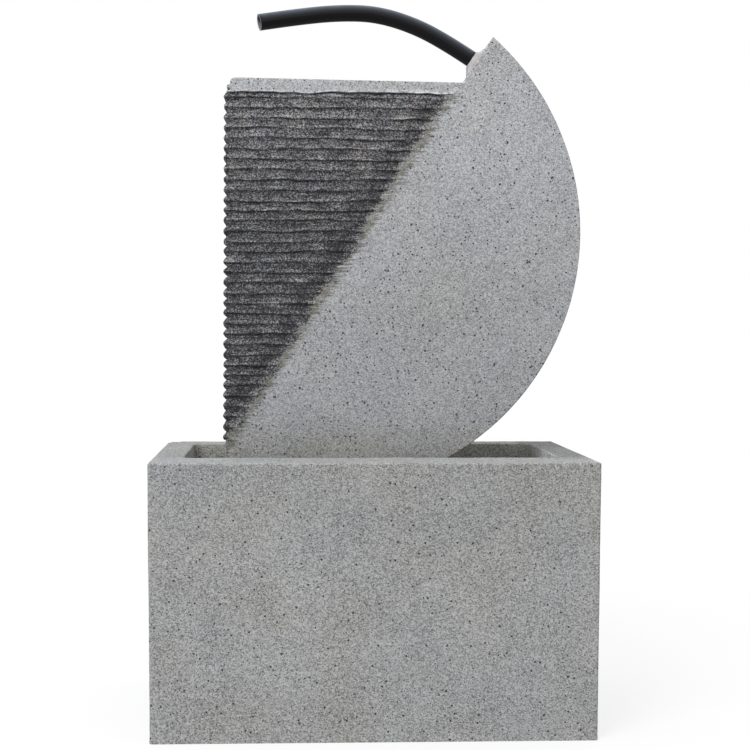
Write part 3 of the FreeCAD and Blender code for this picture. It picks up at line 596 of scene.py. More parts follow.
def course_depths(place, along, part, split):
    """How far a point lies back, and how much of that is its place between two crests."""
    at_corner = corner_share(along)
    depth = front_profile(part) + at_corner * (corner_profile(part) - front_profile(part))
    full_depth = front_depth + at_corner * (corner_depth - front_depth)
    fainter = course_noise(along, place.z, 60 * MM, 17 * MM, 2.0)
    strength = clamp(0.8 + (1.0 - 0.6 * at_corner) * fainter + 0.25 * at_corner, 0.15, 1.25)
    lumps = face_lumps * (0.5 + 0.5 * wave(place, lump_length, 2.0)) * (1 - at_corner)
    grit = face_grit * (0.5 + 0.5 * wave(place, coarse_length, 1.0)) + fine_grit * wave(place, fine_length)
    scratch = comb_scratch * course_noise(along, place.z, 30 * MM, fine_length, 5.0)
    inset = full_depth * (strength * depth + 0.35 * split) + lumps + grit + scratch
    inset = max(0, inset - 0.5 * face_grit)
    inset += corner_rounding * clamp(1 - abs(along) / corner_edge) ** 2
    if place.z > face_high.z:
        inset = max(inset, side_tuck)
    return inset, depth


# %% [markdown]
# ## Where the courses end
# Towards the slant each course ramps up to the plain slab, over a length that differs from
# course to course, and leaves a strip of bare, raked ground. The ramps could be cut by hand.
# Noise along the courses gives every one its own length.

# %% Ramps and raked ground
ramp_mean = 14 * MM
ramp_spread = 10 * MM
crest_ramp = 6 * MM
border_reach = 10 * MM
overrun_high, overrun_low = 2 * MM, 9 * MM


def gap_to_slant(place):
    return 1.0 if on_left_side(place) else chord_x(place.z) - place.x


def ramp_share(place, depth):
    """1 on the courses and 0 at the slanting edge: how much of its depth a course has left."""
    ragged = course_noise(place.x, place.z, 50 * MM, 9 * MM, 1.0)
    width = ramp_mean + ramp_spread * ragged + crest_ramp * (1 - depth)
    return ease(0, width, gap_to_slant(place))


def height_share(z):
    """0 at the foot of the ridged face and 1 at its top."""
    return ease(0, 1, (z - face_low.z) / (face_high.z - face_low.z))


def raked_share(place):
    """1 on the raked ground, 0 on the plain slab and 0.5 along the border, just past the slant."""
    overrun = overrun_low + (overrun_high - overrun_low) * height_share(place.z)
    return clamp(0.5 + (gap_to_slant(place) + overrun) / (2 * border_reach))


# %% [markdown]
# ## Where the stain, the painted shadow and the painted highlight lie
# The black stain thins out near the slant in ragged streaks. It lies thickest in the last
# centimetres before the bare strip, and is worn pale high up, where the water falls. In the lip
# under each crest a thin dark line is painted shadow with stain gathered in it, the hollow below
# is painted shade, and just above a crest a pale line is a painted highlight. Painting that by
# hand would take a day. The rules below know where the crests are, so they place it.

# %% Stain, wear and painted light
bare_low, bare_high = 1 * MM, 12 * MM
bare_spread = 14 * MM
line_reach = 2 * MM
stain_fade = 18 * MM
even_wear = 0.222
fall_wear = 0.143
fall_low, fall_high = 780 * MM, 1020 * MM
line_near, line_far = 4 * MM, 45 * MM
pool_wear = 0.12
pool_rise, pool_fall = (10 * MM, 20 * MM), (30 * MM, 60 * MM)


def shadow_and_stain_line(part):
    """1 in the thin line just under a crest: painted shadow, with stain gathered in it."""
    return ease(-0.01, 0.03, part) * (1 - ease(0.1, 0.26, part))


def stain_share(place, turn, part):
    """How surely the face is stained: 0 at the slant, 0.5 where the streaks end, then 1."""
    by_course = noise.noise(Vector((math.floor(turn) * 3.7, 6.0, place.x / (200 * MM))))
    bare = bare_low + (bare_high - bare_low) * height_share(place.z) ** 2
    bare += bare_spread * by_course - line_reach * shadow_and_stain_line(part)
    return clamp(0.5 + (gap_to_slant(place) - bare) / stain_fade)


def wear_and_light_share(place, along, part, split):
    """How much pale concrete shows: wear, less in the painted shadow and shade under a crest, most in the
    painted highlight above it.
    """
    patch = 0.5 + 0.5 * course_noise(along, place.z, 35 * MM, 14 * MM, 3.0)
    broken = 0.5 + 0.5 * course_noise(along, place.z, 12 * MM, 14 * MM, 7.0)
    gap = gap_to_slant(place)
    # the pale line just above a crest is a painted highlight, the dark line under a crest is painted shadow
    # with stain gathered in it, and so is the line of a second lip, and the hollow below is painted shade
    crest_highlight = ease(0.55, 0.93, part) * (0.15 + 0.6 * patch + 0.5 * broken)
    shadow_and_stain = shadow_and_stain_line(part) * (0.2 + 0.8 * patch + 0.5 * broken) * ease(line_near, line_far, gap)
    hollow_shade = 1 - ease(0.1, 0.6, part)
    pale_share = fall_wear * ease(fall_low, fall_high, place.z)
    pooled = pool_wear * ease(*pool_rise, gap) * (1 - ease(*pool_fall, gap))
    paler = pale_share + 0.34 * (patch - 0.5) + 0.22 * crest_highlight
    return clamp(even_wear + paler - 0.055 * max(shadow_and_stain, split) - 0.045 * hollow_shade - pooled)


# %% Give the sheet its courses
corner_reach = 13 * MM
side_lean = 2.2 * MM
crest_setback = 3.0 * MM

flat_places = [point.co.copy() for point in ridges.data.vertices]
turns = [turn.value for turn in ridges.data.attributes["turn"].data]
shares = {"stain": [], "wear_and_painted_light": [], "raked": []}
shifts = []
for place, turn in zip(flat_places, turns):
    along = course_place(place)
    part = turn - math.floor(turn)
    split = second_lip(along, place.z, part) * (1 - corner_share(along))
    inset, depth = course_depths(place, along, part, split)
    near = clamp(1 - abs(along) / corner_reach)
    if on_left_side(place):
        lean = side_lean * (place.y - face_low.y) / side_length
        shifts.append(Vector((inset + lean, inset * near, 0)))
    else:
        share = ramp_share(place, depth)
        shifts.append(Vector((inset * near, (inset + crest_setback) * share - crest_setback, 0)))
    shares["stain"].append(stain_share(place, turn, part))
    shares["wear_and_painted_light"].append(wear_and_light_share(place, along, part, split))
    shares["raked"].append(raked_share(place))
for name, values in shares.items():
    store(ridges, name, values)
for point, shift in zip(ridges.data.vertices, shifts):
    point.co = point.co + shift

# %% [markdown]
# ## Body of the ridged face
# A sheet has no thickness. Extruding it back would copy every ridge, so Solidify gives it a
# second skin, and those new points are laid on the slab's bed: flat behind the front, and flat
# behind the left side. There the many small faces say nothing more, so they are dissolved into
# a few large ones.

# %% Thicken the ridged face and bed it on the slab
body_thickness = 9 * MM
bed_y = slab_low.y + 30 * MM
bed_x = slab_low.x + 14 * MM

outer_count = len(ridges.data.vertices)
select_only(ridges)
body = ridges.modifiers.new("body", "SOLIDIFY")
body.thickness = body_thickness
body.offset = -1
bpy.ops.object.modifier_apply(modifier=body.name)
skin = ridges.data.vertices
for index, place in enumerate(flat_places):
    back = skin[outer_count + index]
    if on_left_side(place):
        back.co = (bed_x, max(place.y, bed_y), place.z)
    else:
        back.co = (max(place.x, bed_x), bed_y, place.z)
edit_all(ridges)
bpy.ops.mesh.remove_doubles(threshold=0.02 * MM)
finish_edit()


def behind_front(face):
    return face.normal.y > 0.99 and face.center.y > bed_y - 0.05 * MM and face.center.x > bed_x


def behind_side(face):
    return face.normal.x > 0.99 and face.center.x > bed_x - 0.05 * MM and face.center.y > bed_y


for behind in (behind_front, behind_side):
    edit_chosen(ridges, "FACE", behind)
    bpy.ops.mesh.dissolve_faces()
    finish_edit()
bpy.ops.object.shade_smooth_by_angle(angle=math.radians(55))
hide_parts("ridged_face")
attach(ridges, "fountain")
print("ridged face:", len(ridges.data.polygons), "faces")

# %% [markdown]
# ## The mortar collar
# A mason pressed mortar round the hose with a finger: thin at the top, pulled down in a hollow
# curve below. A cone would be too regular. It starts as a circle, is drawn out ring by ring,
# and is then made lumpy.

# %% Mortar collar
collar_rings = ((1.5, 25.5), (3.5, 22.0), (6.0, 19.2), (8.2, 17.6), (9.6, 16.0), (9.8, 13.7))
collar_height = 10 * MM
collar_root_radius = 28 * MM
collar_seat = 1.5 * MM

bpy.ops.object.select_all(action="DESELECT")
bpy.ops.mesh.primitive_circle_add(vertices=48, radius=collar_root_radius, location=(0, 0, -collar_seat))
collar = bpy.context.object
collar.name = "collar"
bpy.ops.object.transform_apply(location=True)
edit_all(collar)
height, radius = -collar_seat, collar_root_radius
for ring_height, ring_radius in collar_rings:
    rise = ring_height * MM - height
    bpy.ops.mesh.extrude_region_move(TRANSFORM_OT_translate={"value": (0, 0, rise)})
    size = ring_radius * MM / radius
    bpy.ops.transform.resize(value=(size, size, 1), center_override=(0, 0, 0))
    height, radius = ring_height * MM, ring_radius * MM
bpy.ops.mesh.extrude_region_move(TRANSFORM_OT_translate={"value": (0, 0, -collar_seat - height)})
finish_edit()


def at_seat(edge):
    return all(collar.data.vertices[index].co.z < -0.9 * collar_seat for index in edge.vertices)


edit_chosen(collar, "EDGE", at_seat)
bpy.ops.mesh.bridge_edge_loops()
bpy.ops.mesh.select_all(action="SELECT")
bpy.ops.mesh.normals_make_consistent(inside=False)
finish_edit()
smooth = collar.modifiers.new("rounding", "SUBSURF")
smooth.levels = smooth.render_levels = 2
bpy.ops.object.modifier_apply(modifier=smooth.name)
exit_place = spout_nose - spout_square * collar_height
tilt = spout_square.to_track_quat("Z", "Y").to_matrix().to_4x4()
collar.matrix_world = Matrix.Translation(exit_place) @ tilt
bpy.ops.object.transform_apply(location=True, rotation=True, scale=True)
print("collar:", len(collar.data.polygons), "faces")

# %% Finger marks on the mortar
lump_depth, lump_width, dimple_width = 1.3 * MM, 11 * MM, 4 * MM
lower_pull = 2.5 * MM
upper_drop = 3.5 * MM
still_radius = 15 * MM
calm_radius, lumpy_radius = 14 * MM, 24 * MM


def collar_wear(place, normal):
    reach = place - exit_place
    height = reach.dot(spout_square)
    sideways = reach - spout_square * height
    if sideways.length < still_radius:
        return Vector((0, 0, 0))
    outer = ease(calm_radius, lumpy_radius, sideways.length)
    lumpy = wave(place, lump_width, 4.0) + 0.4 * wave(place, dimple_width, 8.0)
    lumps = normal * lump_depth * lumpy * outer
    tipwards = sideways.normalized().dot(chord_along)
    pulled = sideways.normalized() * lower_pull * clamp(-tipwards) * outer
    dropped = spout_square * upper_drop * clamp(tipwards) * clamp(height / collar_height)
    return lumps + pulled - dropped


move_points(collar, collar_wear)
bpy.ops.object.shade_smooth()
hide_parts("spout_collar")
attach(collar, "fountain")

# %% [markdown]
# ## Colours and nodes
# Colours are noted as they look on a screen, and one function turns them into the linear
# values that light is reckoned in. Nodes could be added and linked line by line. Two more
# functions add a node and feed its inputs. An input takes a value, a socket or a whole node,
# whose first socket in use is then linked, so each material reads as a short recipe.

# %% Helpers for materials
def linear(hex_colour):
    """A screen colour such as #979797 as linear red, green, blue and alpha."""
    shares = [int(hex_colour[start:start + 2], 16) / 255 for start in (1, 3, 5)]
    bent = [s / 12.92 if s <= 0.04045 else ((s + 0.055) / 1.055) ** 2.4 for s in shares]
    return (*bent, 1.0)


def feed(tree, node, inputs):
    """Sets an input that is given a value, and links one that is given a socket or a node."""
    for name, value in inputs.items():
        if isinstance(value, bpy.types.Node):
            value = next(socket for socket in value.outputs if socket.enabled)
        if isinstance(value, bpy.types.NodeSocket):
            tree.links.new(value, node.inputs[name])
        else:
            node.inputs[name].default_value = value


def add(tree, kind, inputs, **settings):
    """Adds a node with its settings, and feeds its inputs."""
    node = tree.nodes.new("ShaderNode" + kind)
    for name, value in settings.items():
        setattr(node, name, value)
    feed(tree, node, inputs)
    return node


def new_material(name, uniform):
    """A material, its shader with the values that are the same all over, and its coordinates."""
    material = bpy.data.materials.new(name)
    material.use_nodes = True
    tree = material.node_tree
    shader = tree.nodes["Principled BSDF"]
    feed(tree, shader, uniform)
    place = add(tree, "TexCoord", {}).outputs["Object"]
    print("finish:", name)
    return material, tree, shader, place


def patches(tree, place, width, detail, low, high):
    """Soft patches of about that width: noise, spread out from 0 at low to 1 at high."""
    cloud = add(tree, "TexNoise", {"Vector": place, "Scale": 1 / width, "Detail": detail})
    return add(tree, "MapRange", {"Value": cloud, "From Min": low, "From Max": high})


def dress(piece, *materials):
    piece.data.materials.clear()
    for material in materials:
        piece.data.materials.append(material)


# %% [markdown]
# ## Grains and pinholes
# After casting, the skin of cement is washed off, and the stone grit shows: pale and grey
# grains of one or two millimetres, with pinholes where air or a grain came out. A picture of
# concrete would repeat and stretch. Here each grain is one cell of a Voronoi pattern with its
# own grey, which runs on round every corner, and two sizes of pinhole are sunken dots whose dark
# is painted shade inside them.

# %% Grains and pinholes
grain_width = 1.6 * MM
sand_width = 0.9 * MM


def pinholes(tree, place, spacing, smallest, largest, share):
    """1 inside round pits of random size, one to a cell at most, and 0 outside them."""
    cells = add(tree, "TexVoronoi", {"Vector": place, "Scale": 1 / spacing})
    dice = add(tree, "SeparateColor", {"Color": cells.outputs["Color"]})
    radius = add(tree, "MapRange", {
        "Value": dice.outputs["Green"], "To Min": smallest / spacing, "To Max": largest / spacing,
    })
    inside = add(tree, "Math", {0: radius, 1: cells.outputs["Distance"]}, operation="SUBTRACT")
    edge = add(tree, "MapRange", {"Value": inside, "From Max": 0.4 * smallest / spacing})
    chosen = add(tree, "Math", {0: dice.outputs["Blue"], 1: share}, operation="LESS_THAN")
    return add(tree, "Math", {0: edge, 1: chosen}, operation="MULTIPLY")


def grit_tone(tree, place):
    """A grey from 0 to 1 for each grain of grit, with finer sand between the grains."""
    grains = add(tree, "TexVoronoi", {"Vector": place, "Scale": 1 / grain_width})
    dice = add(tree, "SeparateColor", {"Color": grains.outputs["Color"]})
    sand = add(tree, "TexNoise", {"Vector": place, "Scale": 1 / sand_width, "Detail": 1.0, "Roughness": 0.7})
    tone = add(tree, "Mix", {0: 0.35, 2: dice.outputs["Red"], 3: sand})
    return tone, grains


# %% [markdown]
# ## Colour of the stone
# Cement and grit are a cold grey in soft clouds. The slab is darker towards the bottom, the stone
# is darker where damp lies and where painted shade and painted shadow are laid, and near the water
# a film of algae turns it a little green. One grey would look like plastic, so each of these is a
# layer of its own that multiplies the one before. Where the damp, the painted shade and the algae
# lie is stored on the mesh.

# %% Colour of the stone
cloud_width = 90 * MM
tint_width = 160 * MM
low_tone_z, high_tone_z = 420 * MM, 1000 * MM
high_tone = 0.95
damp_and_shade_tone = -0.32
algae_green = "#fffff2"


def stone_colour(tree, place, tone, pale, dark, low_tone=1.0):
    """Grains between two greys in soft clouds, with a tone that changes with height, and darker where damp
    and painted shade are stored.
    """
    clouds = add(tree, "TexNoise", {
        "Vector": place, "Scale": 1 / cloud_width, "Detail": 4.0, "Roughness": 0.6,
    })
    cloudy = add(tree, "Math", {0: clouds, 1: 0.3, 2: -0.15}, operation="MULTIPLY_ADD")
    shade = add(tree, "Math", {0: tone, 1: cloudy}, operation="ADD", use_clamp=True)
    stone = add(tree, "Mix", {0: shade, 6: linear(dark), 7: linear(pale)}, data_type="RGBA")
    side = patches(tree, place, tint_width, 2.0, 0.35, 0.65)
    tint = add(tree, "Mix", {0: side, 6: linear("#fdfdfb"), 7: linear("#fbfcff")}, data_type="RGBA")
    tinted = add(tree, "Mix", {0: 1.0, 6: stone, 7: tint}, data_type="RGBA", blend_type="MULTIPLY")
    height = add(tree, "SeparateXYZ", {"Vector": place})
    # a tone that changes with height: the slab is darker towards the bottom
    by_height = add(tree, "MapRange", {
        "Value": height.outputs["Z"], "From Min": low_tone_z, "From Max": high_tone_z,
        "To Min": low_tone, "To Max": high_tone,
    })
    # darker where the stored share says: damp below the rim outside, painted shadow of the slab on the right
    # rim, painted shade on the left rim, and a darker foot of the slab
    darkened_share = add(tree, "Attribute", {}, attribute_name="damp_and_shade").outputs["Fac"]
    darkening = add(tree, "Math", {0: darkened_share, 1: damp_and_shade_tone, 2: by_height}, operation="MULTIPLY_ADD")
    algae = add(tree, "Attribute", {}, attribute_name="algae").outputs["Fac"]
    greenish = add(tree, "Mix", {0: algae, 6: tinted, 7: linear(algae_green)},
                   data_type="RGBA", blend_type="MULTIPLY")
    darkened = add(tree, "Mix", {0: 1.0, 6: greenish, 7: darkening}, data_type="RGBA", blend_type="MULTIPLY")
    return darkened


# %% [markdown]
# ## Strokes of the comb, and the raked ground
# The comb left fine level strokes in the wet concrete, and beside the slant a bare, slightly
# yellow strip. Its border could be a painted line. Here stretched noise, the strokes, is added
# to the share that is stored on the mesh, and the ground begins where the sum passes a
# threshold, so the border is as ragged as the comb left it.

# %% Strokes and raked ground
strokes_per_metre = 28
strokes_across_metre = 330
yellow_width = 14 * MM


def comb_streaks(tree, place):
    """Fine level streaks, as long as the strokes of the comb, around a mean of 0.5."""
    stretch = (strokes_per_metre, strokes_per_metre, strokes_across_metre)
    stretched = add(tree, "Mapping", {"Vector": place, "Scale": stretch})
    return add(tree, "TexNoise", {"Vector": stretched, "Detail": 3.0, "Scale": 1.0})


def raked_ground(tree, place, stone, streaks):
    """Stone with the yellowish patches of raked ground on it."""
    raked = add(tree, "Attribute", {}, attribute_name="raked").outputs["Fac"]
    patchy = patches(tree, place, yellow_width, 2.0, 0.38, 0.62)
    yellow = add(tree, "Mix", {0: patchy, 6: linear("#d0cfca"), 7: linear("#b6b3a3")}, data_type="RGBA")
    border = add(tree, "Math", {0: streaks, 1: 3.0, 2: raked}, operation="MULTIPLY_ADD")
    ragged = add(tree, "MapRange", {"Value": border, "From Min": 1.85, "From Max": 2.15})
    near = add(tree, "MapRange", {"Value": raked, "From Max": 0.15})
    inside = add(tree, "Math", {0: ragged, 1: near}, operation="MULTIPLY")
    tint = add(tree, "Mix", {0: inside, 6: linear("#ffffff"), 7: yellow}, data_type="RGBA")
    return add(tree, "Mix", {0: 1.0, 6: stone, 7: tint}, data_type="RGBA", blend_type="MULTIPLY")


# %% [markdown]
# ## The black stain
# The water face was rubbed with a thin black stain. It fills the hollows and wears off the
# grains, so the face is salt and pepper and not plain black. A mix by a noise would lie beside
# the grains. Here the tone of each grain itself says how soon it is bare.

# %% Cover and colour of the stain
speck_width = 4 * MM
warmth_width = 24 * MM


def stain_cover(tree, place, streaks, name):
    """1 under the stain and 0 beside it. Streaks and specks make its edge ragged."""
    stain = add(tree, "Attribute", {}, attribute_name=name).outputs["Fac"]
    specks = add(tree, "TexNoise", {"Vector": place, "Scale": 1 / speck_width, "Detail": 3.0})
    edge = add(tree, "Math", {0: specks, 1: 0.9, 2: stain}, operation="MULTIPLY_ADD")
    ragged = add(tree, "Math", {0: streaks, 1: 1.8, 2: edge}, operation="MULTIPLY_ADD")
    cover = add(tree, "MapRange", {"Value": ragged, "From Min": 1.76, "From Max": 1.94})
    near = add(tree, "MapRange", {"Value": stain, "From Max": 0.1})
    return add(tree, "Math", {0: cover, 1: near}, operation="MULTIPLY")


def stained_colour(tree, place, tone, wear_and_painted_light, streaks):
    """Near black, and paler where a grain is bare, which the wear and painted light say how often."""
    warmth = patches(tree, place, warmth_width, 3.0, 0.38, 0.62)
    grain = add(tree, "Mix", {0: warmth, 6: linear("#b6b7ba"), 7: linear("#bcb8b6")}, data_type="RGBA")
    streaky = add(tree, "MapRange", {
        "Value": streaks, "From Min": 0.3, "From Max": 0.7, "To Min": -0.16, "To Max": 0.16,
    })
    worn = add(tree, "Math", {0: wear_and_painted_light, 1: streaky}, operation="ADD")
    grains = add(tree, "Math", {0: tone, 1: 1.35, 2: -0.675}, operation="MULTIPLY_ADD")
    summed = add(tree, "Math", {0: worn, 1: grains}, operation="ADD", use_clamp=True)
    shown = add(tree, "Math", {0: summed, 1: 1.85}, operation="POWER")
    return add(tree, "Mix", {0: shown, 6: linear("#212125"), 7: grain}, data_type="RGBA")


# %% [markdown]
# ## Washed concrete
# The trough and the slab are the same mix, washed alike, but the trough is darker and more
# pitted. So one recipe makes both: grit, clouds, damp and painted shade, raked ground, painted
# highlights and painted light in pale patches, pits with painted shade in them and the stain
# that ran over the slant. It is quite matt, because washed grit scatters the light.

# %% Washed concrete
slab_pale, slab_dark, slab_low_tone = "#dededf", "#666667", 0.7
highlight_width = 7 * MM
small_pits = (6.5 * MM, 0.8 * MM, 1.5 * MM)
large_pits = (13 * MM, 1.2 * MM, 2.1 * MM)
run_wear = 0.2


def washed_concrete(name, pale, dark, low_tone=1.0, pit_shade="#3f3f40", pit_share=0.5):
    material, tree, shader, place = new_material(name, {"Roughness": 0.92})
    tone, grain_shape = grit_tone(tree, place)
    stone = stone_colour(tree, place, tone, pale, dark, low_tone)
    streaks = comb_streaks(tree, place)
    ground = raked_ground(tree, place, stone, streaks)
    # painted light: a painted highlight along the slab's lip, and on the trough painted light on the front
    # rim's top and the right inner wall, laid in pale patches
    painted_light = add(tree, "Attribute", {}, attribute_name="painted_light").outputs["Fac"]
    pale_share = patches(tree, place, highlight_width, 2.0, 0.4, 0.62)
    bright = add(tree, "Math", {0: pale_share, 1: painted_light}, operation="MULTIPLY")
    painted_lit = add(tree, "Mix", {0: bright, 6: ground, 7: linear("#dedfe2")}, data_type="RGBA")
    small = pinholes(tree, place, *small_pits, pit_share)
    large = pinholes(tree, place, *large_pits, pit_share)
    pits = add(tree, "Math", {0: small, 1: large}, operation="MAXIMUM")
    # the dark of the pits is painted shade inside them
    pit_shaded = add(tree, "Mix", {0: pits, 6: painted_lit, 7: linear(pit_shade)}, data_type="RGBA")
    run = stain_cover(tree, place, streaks, "run")
    stained = stained_colour(tree, place, tone, run_wear, streaks)
    colour = add(tree, "Mix", {0: run, 6: pit_shaded, 7: stained}, data_type="RGBA")
    relief = add(tree, "Math", {0: pits, 1: -2.2, 2: grain_shape}, operation="MULTIPLY_ADD")
    bump = add(tree, "Bump", {"Strength": 0.6, "Distance": 0.5 * MM, "Height": relief})
    feed(tree, shader, {"Base Color": colour, "Normal": bump})
    return material


trough_concrete = washed_concrete(
    "washed grey concrete", "#cfcfcc", "#4c4c4c", pit_shade="#2e2e2f", pit_share=0.75,
)
slab_concrete = washed_concrete("washed pale concrete", slab_pale, slab_dark, slab_low_tone)
dress(trough, trough_concrete)

# %% [markdown]
# ## Painted light and shade, damp and algae
# The right inner wall is painted paler under its rim, painted light that reaches it past the slab.
# The top of the right wall is painted darker, a painted shadow of the slab, and the left wall's top
# a little darker, painted shade. The outside below the rim is a little darker with damp, and the
# foot of the slab is a little darker. Algae grow on the trough's inner walls and on that foot. The
# front rim's top is painted paler, painted light from above. Noise alone would put these anywhere,
# so each point gets its shares by place.

# %% Shares on the trough
rim_strip = 82 * MM
rim_top_light = 0.17
lit_wall_depth, lit_wall_most = 60 * MM, 0.65
lit_wall_front, lit_wall_back = 20 * MM, 60 * MM
left_rim_shade = 0.31
outside_damp = 0.2
damp_full, damp_end = 100 * MM, 165 * MM
trough_algae = 0.5


def on_rim(place, normal):
    return normal.z > 0.9 and place.z > trough_high.z - 5 * MM


def on_outside(place):
    return max(abs(place.x) / trough_high.x, abs(place.y) / trough_high.y) > 0.97


def painted_light_share(place, normal):
    """Painted light: most on the front part of the right inner wall under the rim, a little on the faces
    that look up near the front, else 0.
    """
    # painted light from above on the faces that look up near the front, such as the front rim's top
    if normal.z > 0.9 and place.y < trough_low.y + rim_strip:
        return rim_top_light
    if place.x < 0 or normal.x > -0.5 or place.y > 100 * MM:
        return 0.0
    under_rim = 1 - ease(0.4 * lit_wall_depth, lit_wall_depth, trough_high.z - place.z)
    return lit_wall_most * under_rim * (1 - ease(lit_wall_front, lit_wall_back, place.y))


def damp_and_shade_share(place, normal):
    """Painted shadow of the slab on the top of the right wall, painted shade on the left one's, and a little
    damp under the rim outside.
    """
    if not on_rim(place, normal):
        faded = ease(damp_full, damp_end, trough_high.z - place.z)
        return outside_damp * (1 - faded) if on_outside(place) else 0.0
    if abs(place.x) < 0.8 * trough_high.x:
        return 0.0
    # painted shadow of the slab on the right wall's top, painted shade on the left wall's top
    most = 1.0 if place.x > 0 else left_rim_shade
    return most * ease(0.3 * rim_strip, 1.2 * rim_strip, place.y - trough_low.y)


def algae_share(place, normal):
    """A thin film on the walls and floor of the trough, and none on its rim and outside."""
    return 0.0 if on_outside(place) or on_rim(place, normal) else trough_algae


trough_flat = [(point.co.copy(), point.normal.copy()) for point in trough.data.vertices]
# the stored shares: painted light, damp with painted shadow and shade, and algae
for name, share in {"painted_light": painted_light_share, "damp_and_shade": damp_and_shade_share, "algae": algae_share}.items():
    store(trough, name, [share(place, normal) for place, normal in trough_flat])

# %% Shares on the foot of the slab
foot_height = 70 * MM
foot_darkening = 0.22
foot_algae = 0.55
# the foot of the slab is a little darker just above the rim
foot = [1 - ease(0, foot_height, place.z - trough_high.z) for place in slab_flat]
for name, most in {"damp_and_shade": foot_darkening, "algae": foot_algae}.items():
    store(slab, name, [most * share for share in foot])

# %% [markdown]
# ## Raked and stained concrete
# The water face is the slab's own mix under the black stain. Where the stain stops near the
# slant, where it is worn and painted with highlights and shadows, and where the ground was
# raked are three numbers on each point. The same two materials meet again on the slab, whose
# faces at the band's end were combed too, so those faces take the stained one.

# %% Stained concrete
def raked_concrete():
    material, tree, shader, place = new_material("raked and stained concrete", {"Roughness": 0.88})
    tone, grain_shape = grit_tone(tree, place)
    # wear, with the painted highlights and shadows of the courses
    wear_and_painted_light = add(tree, "Attribute", {}, attribute_name="wear_and_painted_light").outputs["Fac"]
    streaks = comb_streaks(tree, place)
    stained = stained_colour(tree, place, tone, wear_and_painted_light, streaks)
    plain = stone_colour(tree, place, tone, slab_pale, slab_dark, slab_low_tone)
    unstained = raked_ground(tree, place, plain, streaks)
    cover = stain_cover(tree, place, streaks, "stain")
    colour = add(tree, "Mix", {0: cover, 6: unstained, 7: stained}, data_type="RGBA")
    bump = add(tree, "Bump", {"Strength": 0.9, "Distance": 0.9 * MM, "Height": grain_shape})
    feed(tree, shader, {"Base Color": colour, "Normal": bump})
    return material


stained_concrete = raked_concrete()
dress(ridges, stained_concrete)
dress(slab, slab_concrete, stained_concrete)

# %% Stain on the slab
notched_edge = 7 * MM
band_end_wear = 0.3
for name, value in {"stain": 1.0, "wear_and_painted_light": band_end_wear}.items():
    store(slab, name, [value] * len(slab.data.vertices))
fronts = [float(place.y < slab_low.y + MM and place.z < lip_z - 0.1 * MM) for place in slab_flat]
store(slab, "raked", [front * raked_share(place) for front, place in zip(fronts, slab_flat)])
runs = [front * stain_share(place, course_turn(place.z), 0.5) for front, place in zip(fronts, slab_flat)]
for index, place in enumerate(slab_flat):
    if on_band_end(place) and place.x < slab_low.x + notched_edge:
        runs[index] = notch_share(place.z)
store(slab, "run", runs)
for face in slab.data.polygons:
    combed = face.normal.x < -0.2 and abs(face.normal.y) < 0.6
    face.material_index = int(on_band_end(face.center) and combed)

# %% [markdown]
# ## Mortar and rough castings
# The collar is a finer, paler mix: sand with no grit, smoothed by a wet finger, so its tones
# are smears and not grains. The plinth under water is a rough casting. It could have a recipe
# of its own, but the concrete recipe in a darker grey says the same.

# %% Mortar and plinth
mortar_grain, smear_width = 1.4 * MM, 12 * MM


def rubbed_mortar():
    material, tree, shader, place = new_material("rubbed mortar", {"Roughness": 0.9})
    sand = add(tree, "TexNoise", {"Vector": place, "Scale": 1 / mortar_grain, "Detail": 2.0})
    smears = add(tree, "TexNoise", {"Vector": place, "Scale": 1 / smear_width, "Detail": 3.0})
    mixed = add(tree, "Mix", {0: 0.5, 2: sand, 3: smears})
    spread = add(tree, "MapRange", {"Value": mixed, "From Min": 0.33, "From Max": 0.67})
    colour = add(tree, "Mix", {0: spread, 6: linear("#8f8d8c"), 7: linear("#c9c6c5")}, data_type="RGBA")
    bump = add(tree, "Bump", {"Strength": 0.5, "Distance": 0.4 * MM, "Height": mixed})
    feed(tree, shader, {"Base Color": colour, "Normal": bump})
    return material


mortar = rubbed_mortar()
dress(collar, mortar)
plinth_concrete = washed_concrete("rough wet concrete", "#a9a9a3", "#4a4a47")

# %% [markdown]
# ## PVC of the hose, with lime and painted sheen
# The hose is extruded PVC, almost black and half glossy, a little wavy from the die. Its upper
# side is painted bluish grey, a painted highlight of the sky, and hard water leaves pale lime in
# its mouth. Both could be noise, but they follow the shape, so the material reads the painted
# sheen and lime stored before.

# %% Hose
sheen_patch_width, crust_width, ripple_width = 22 * MM, 2 * MM, 6 * MM


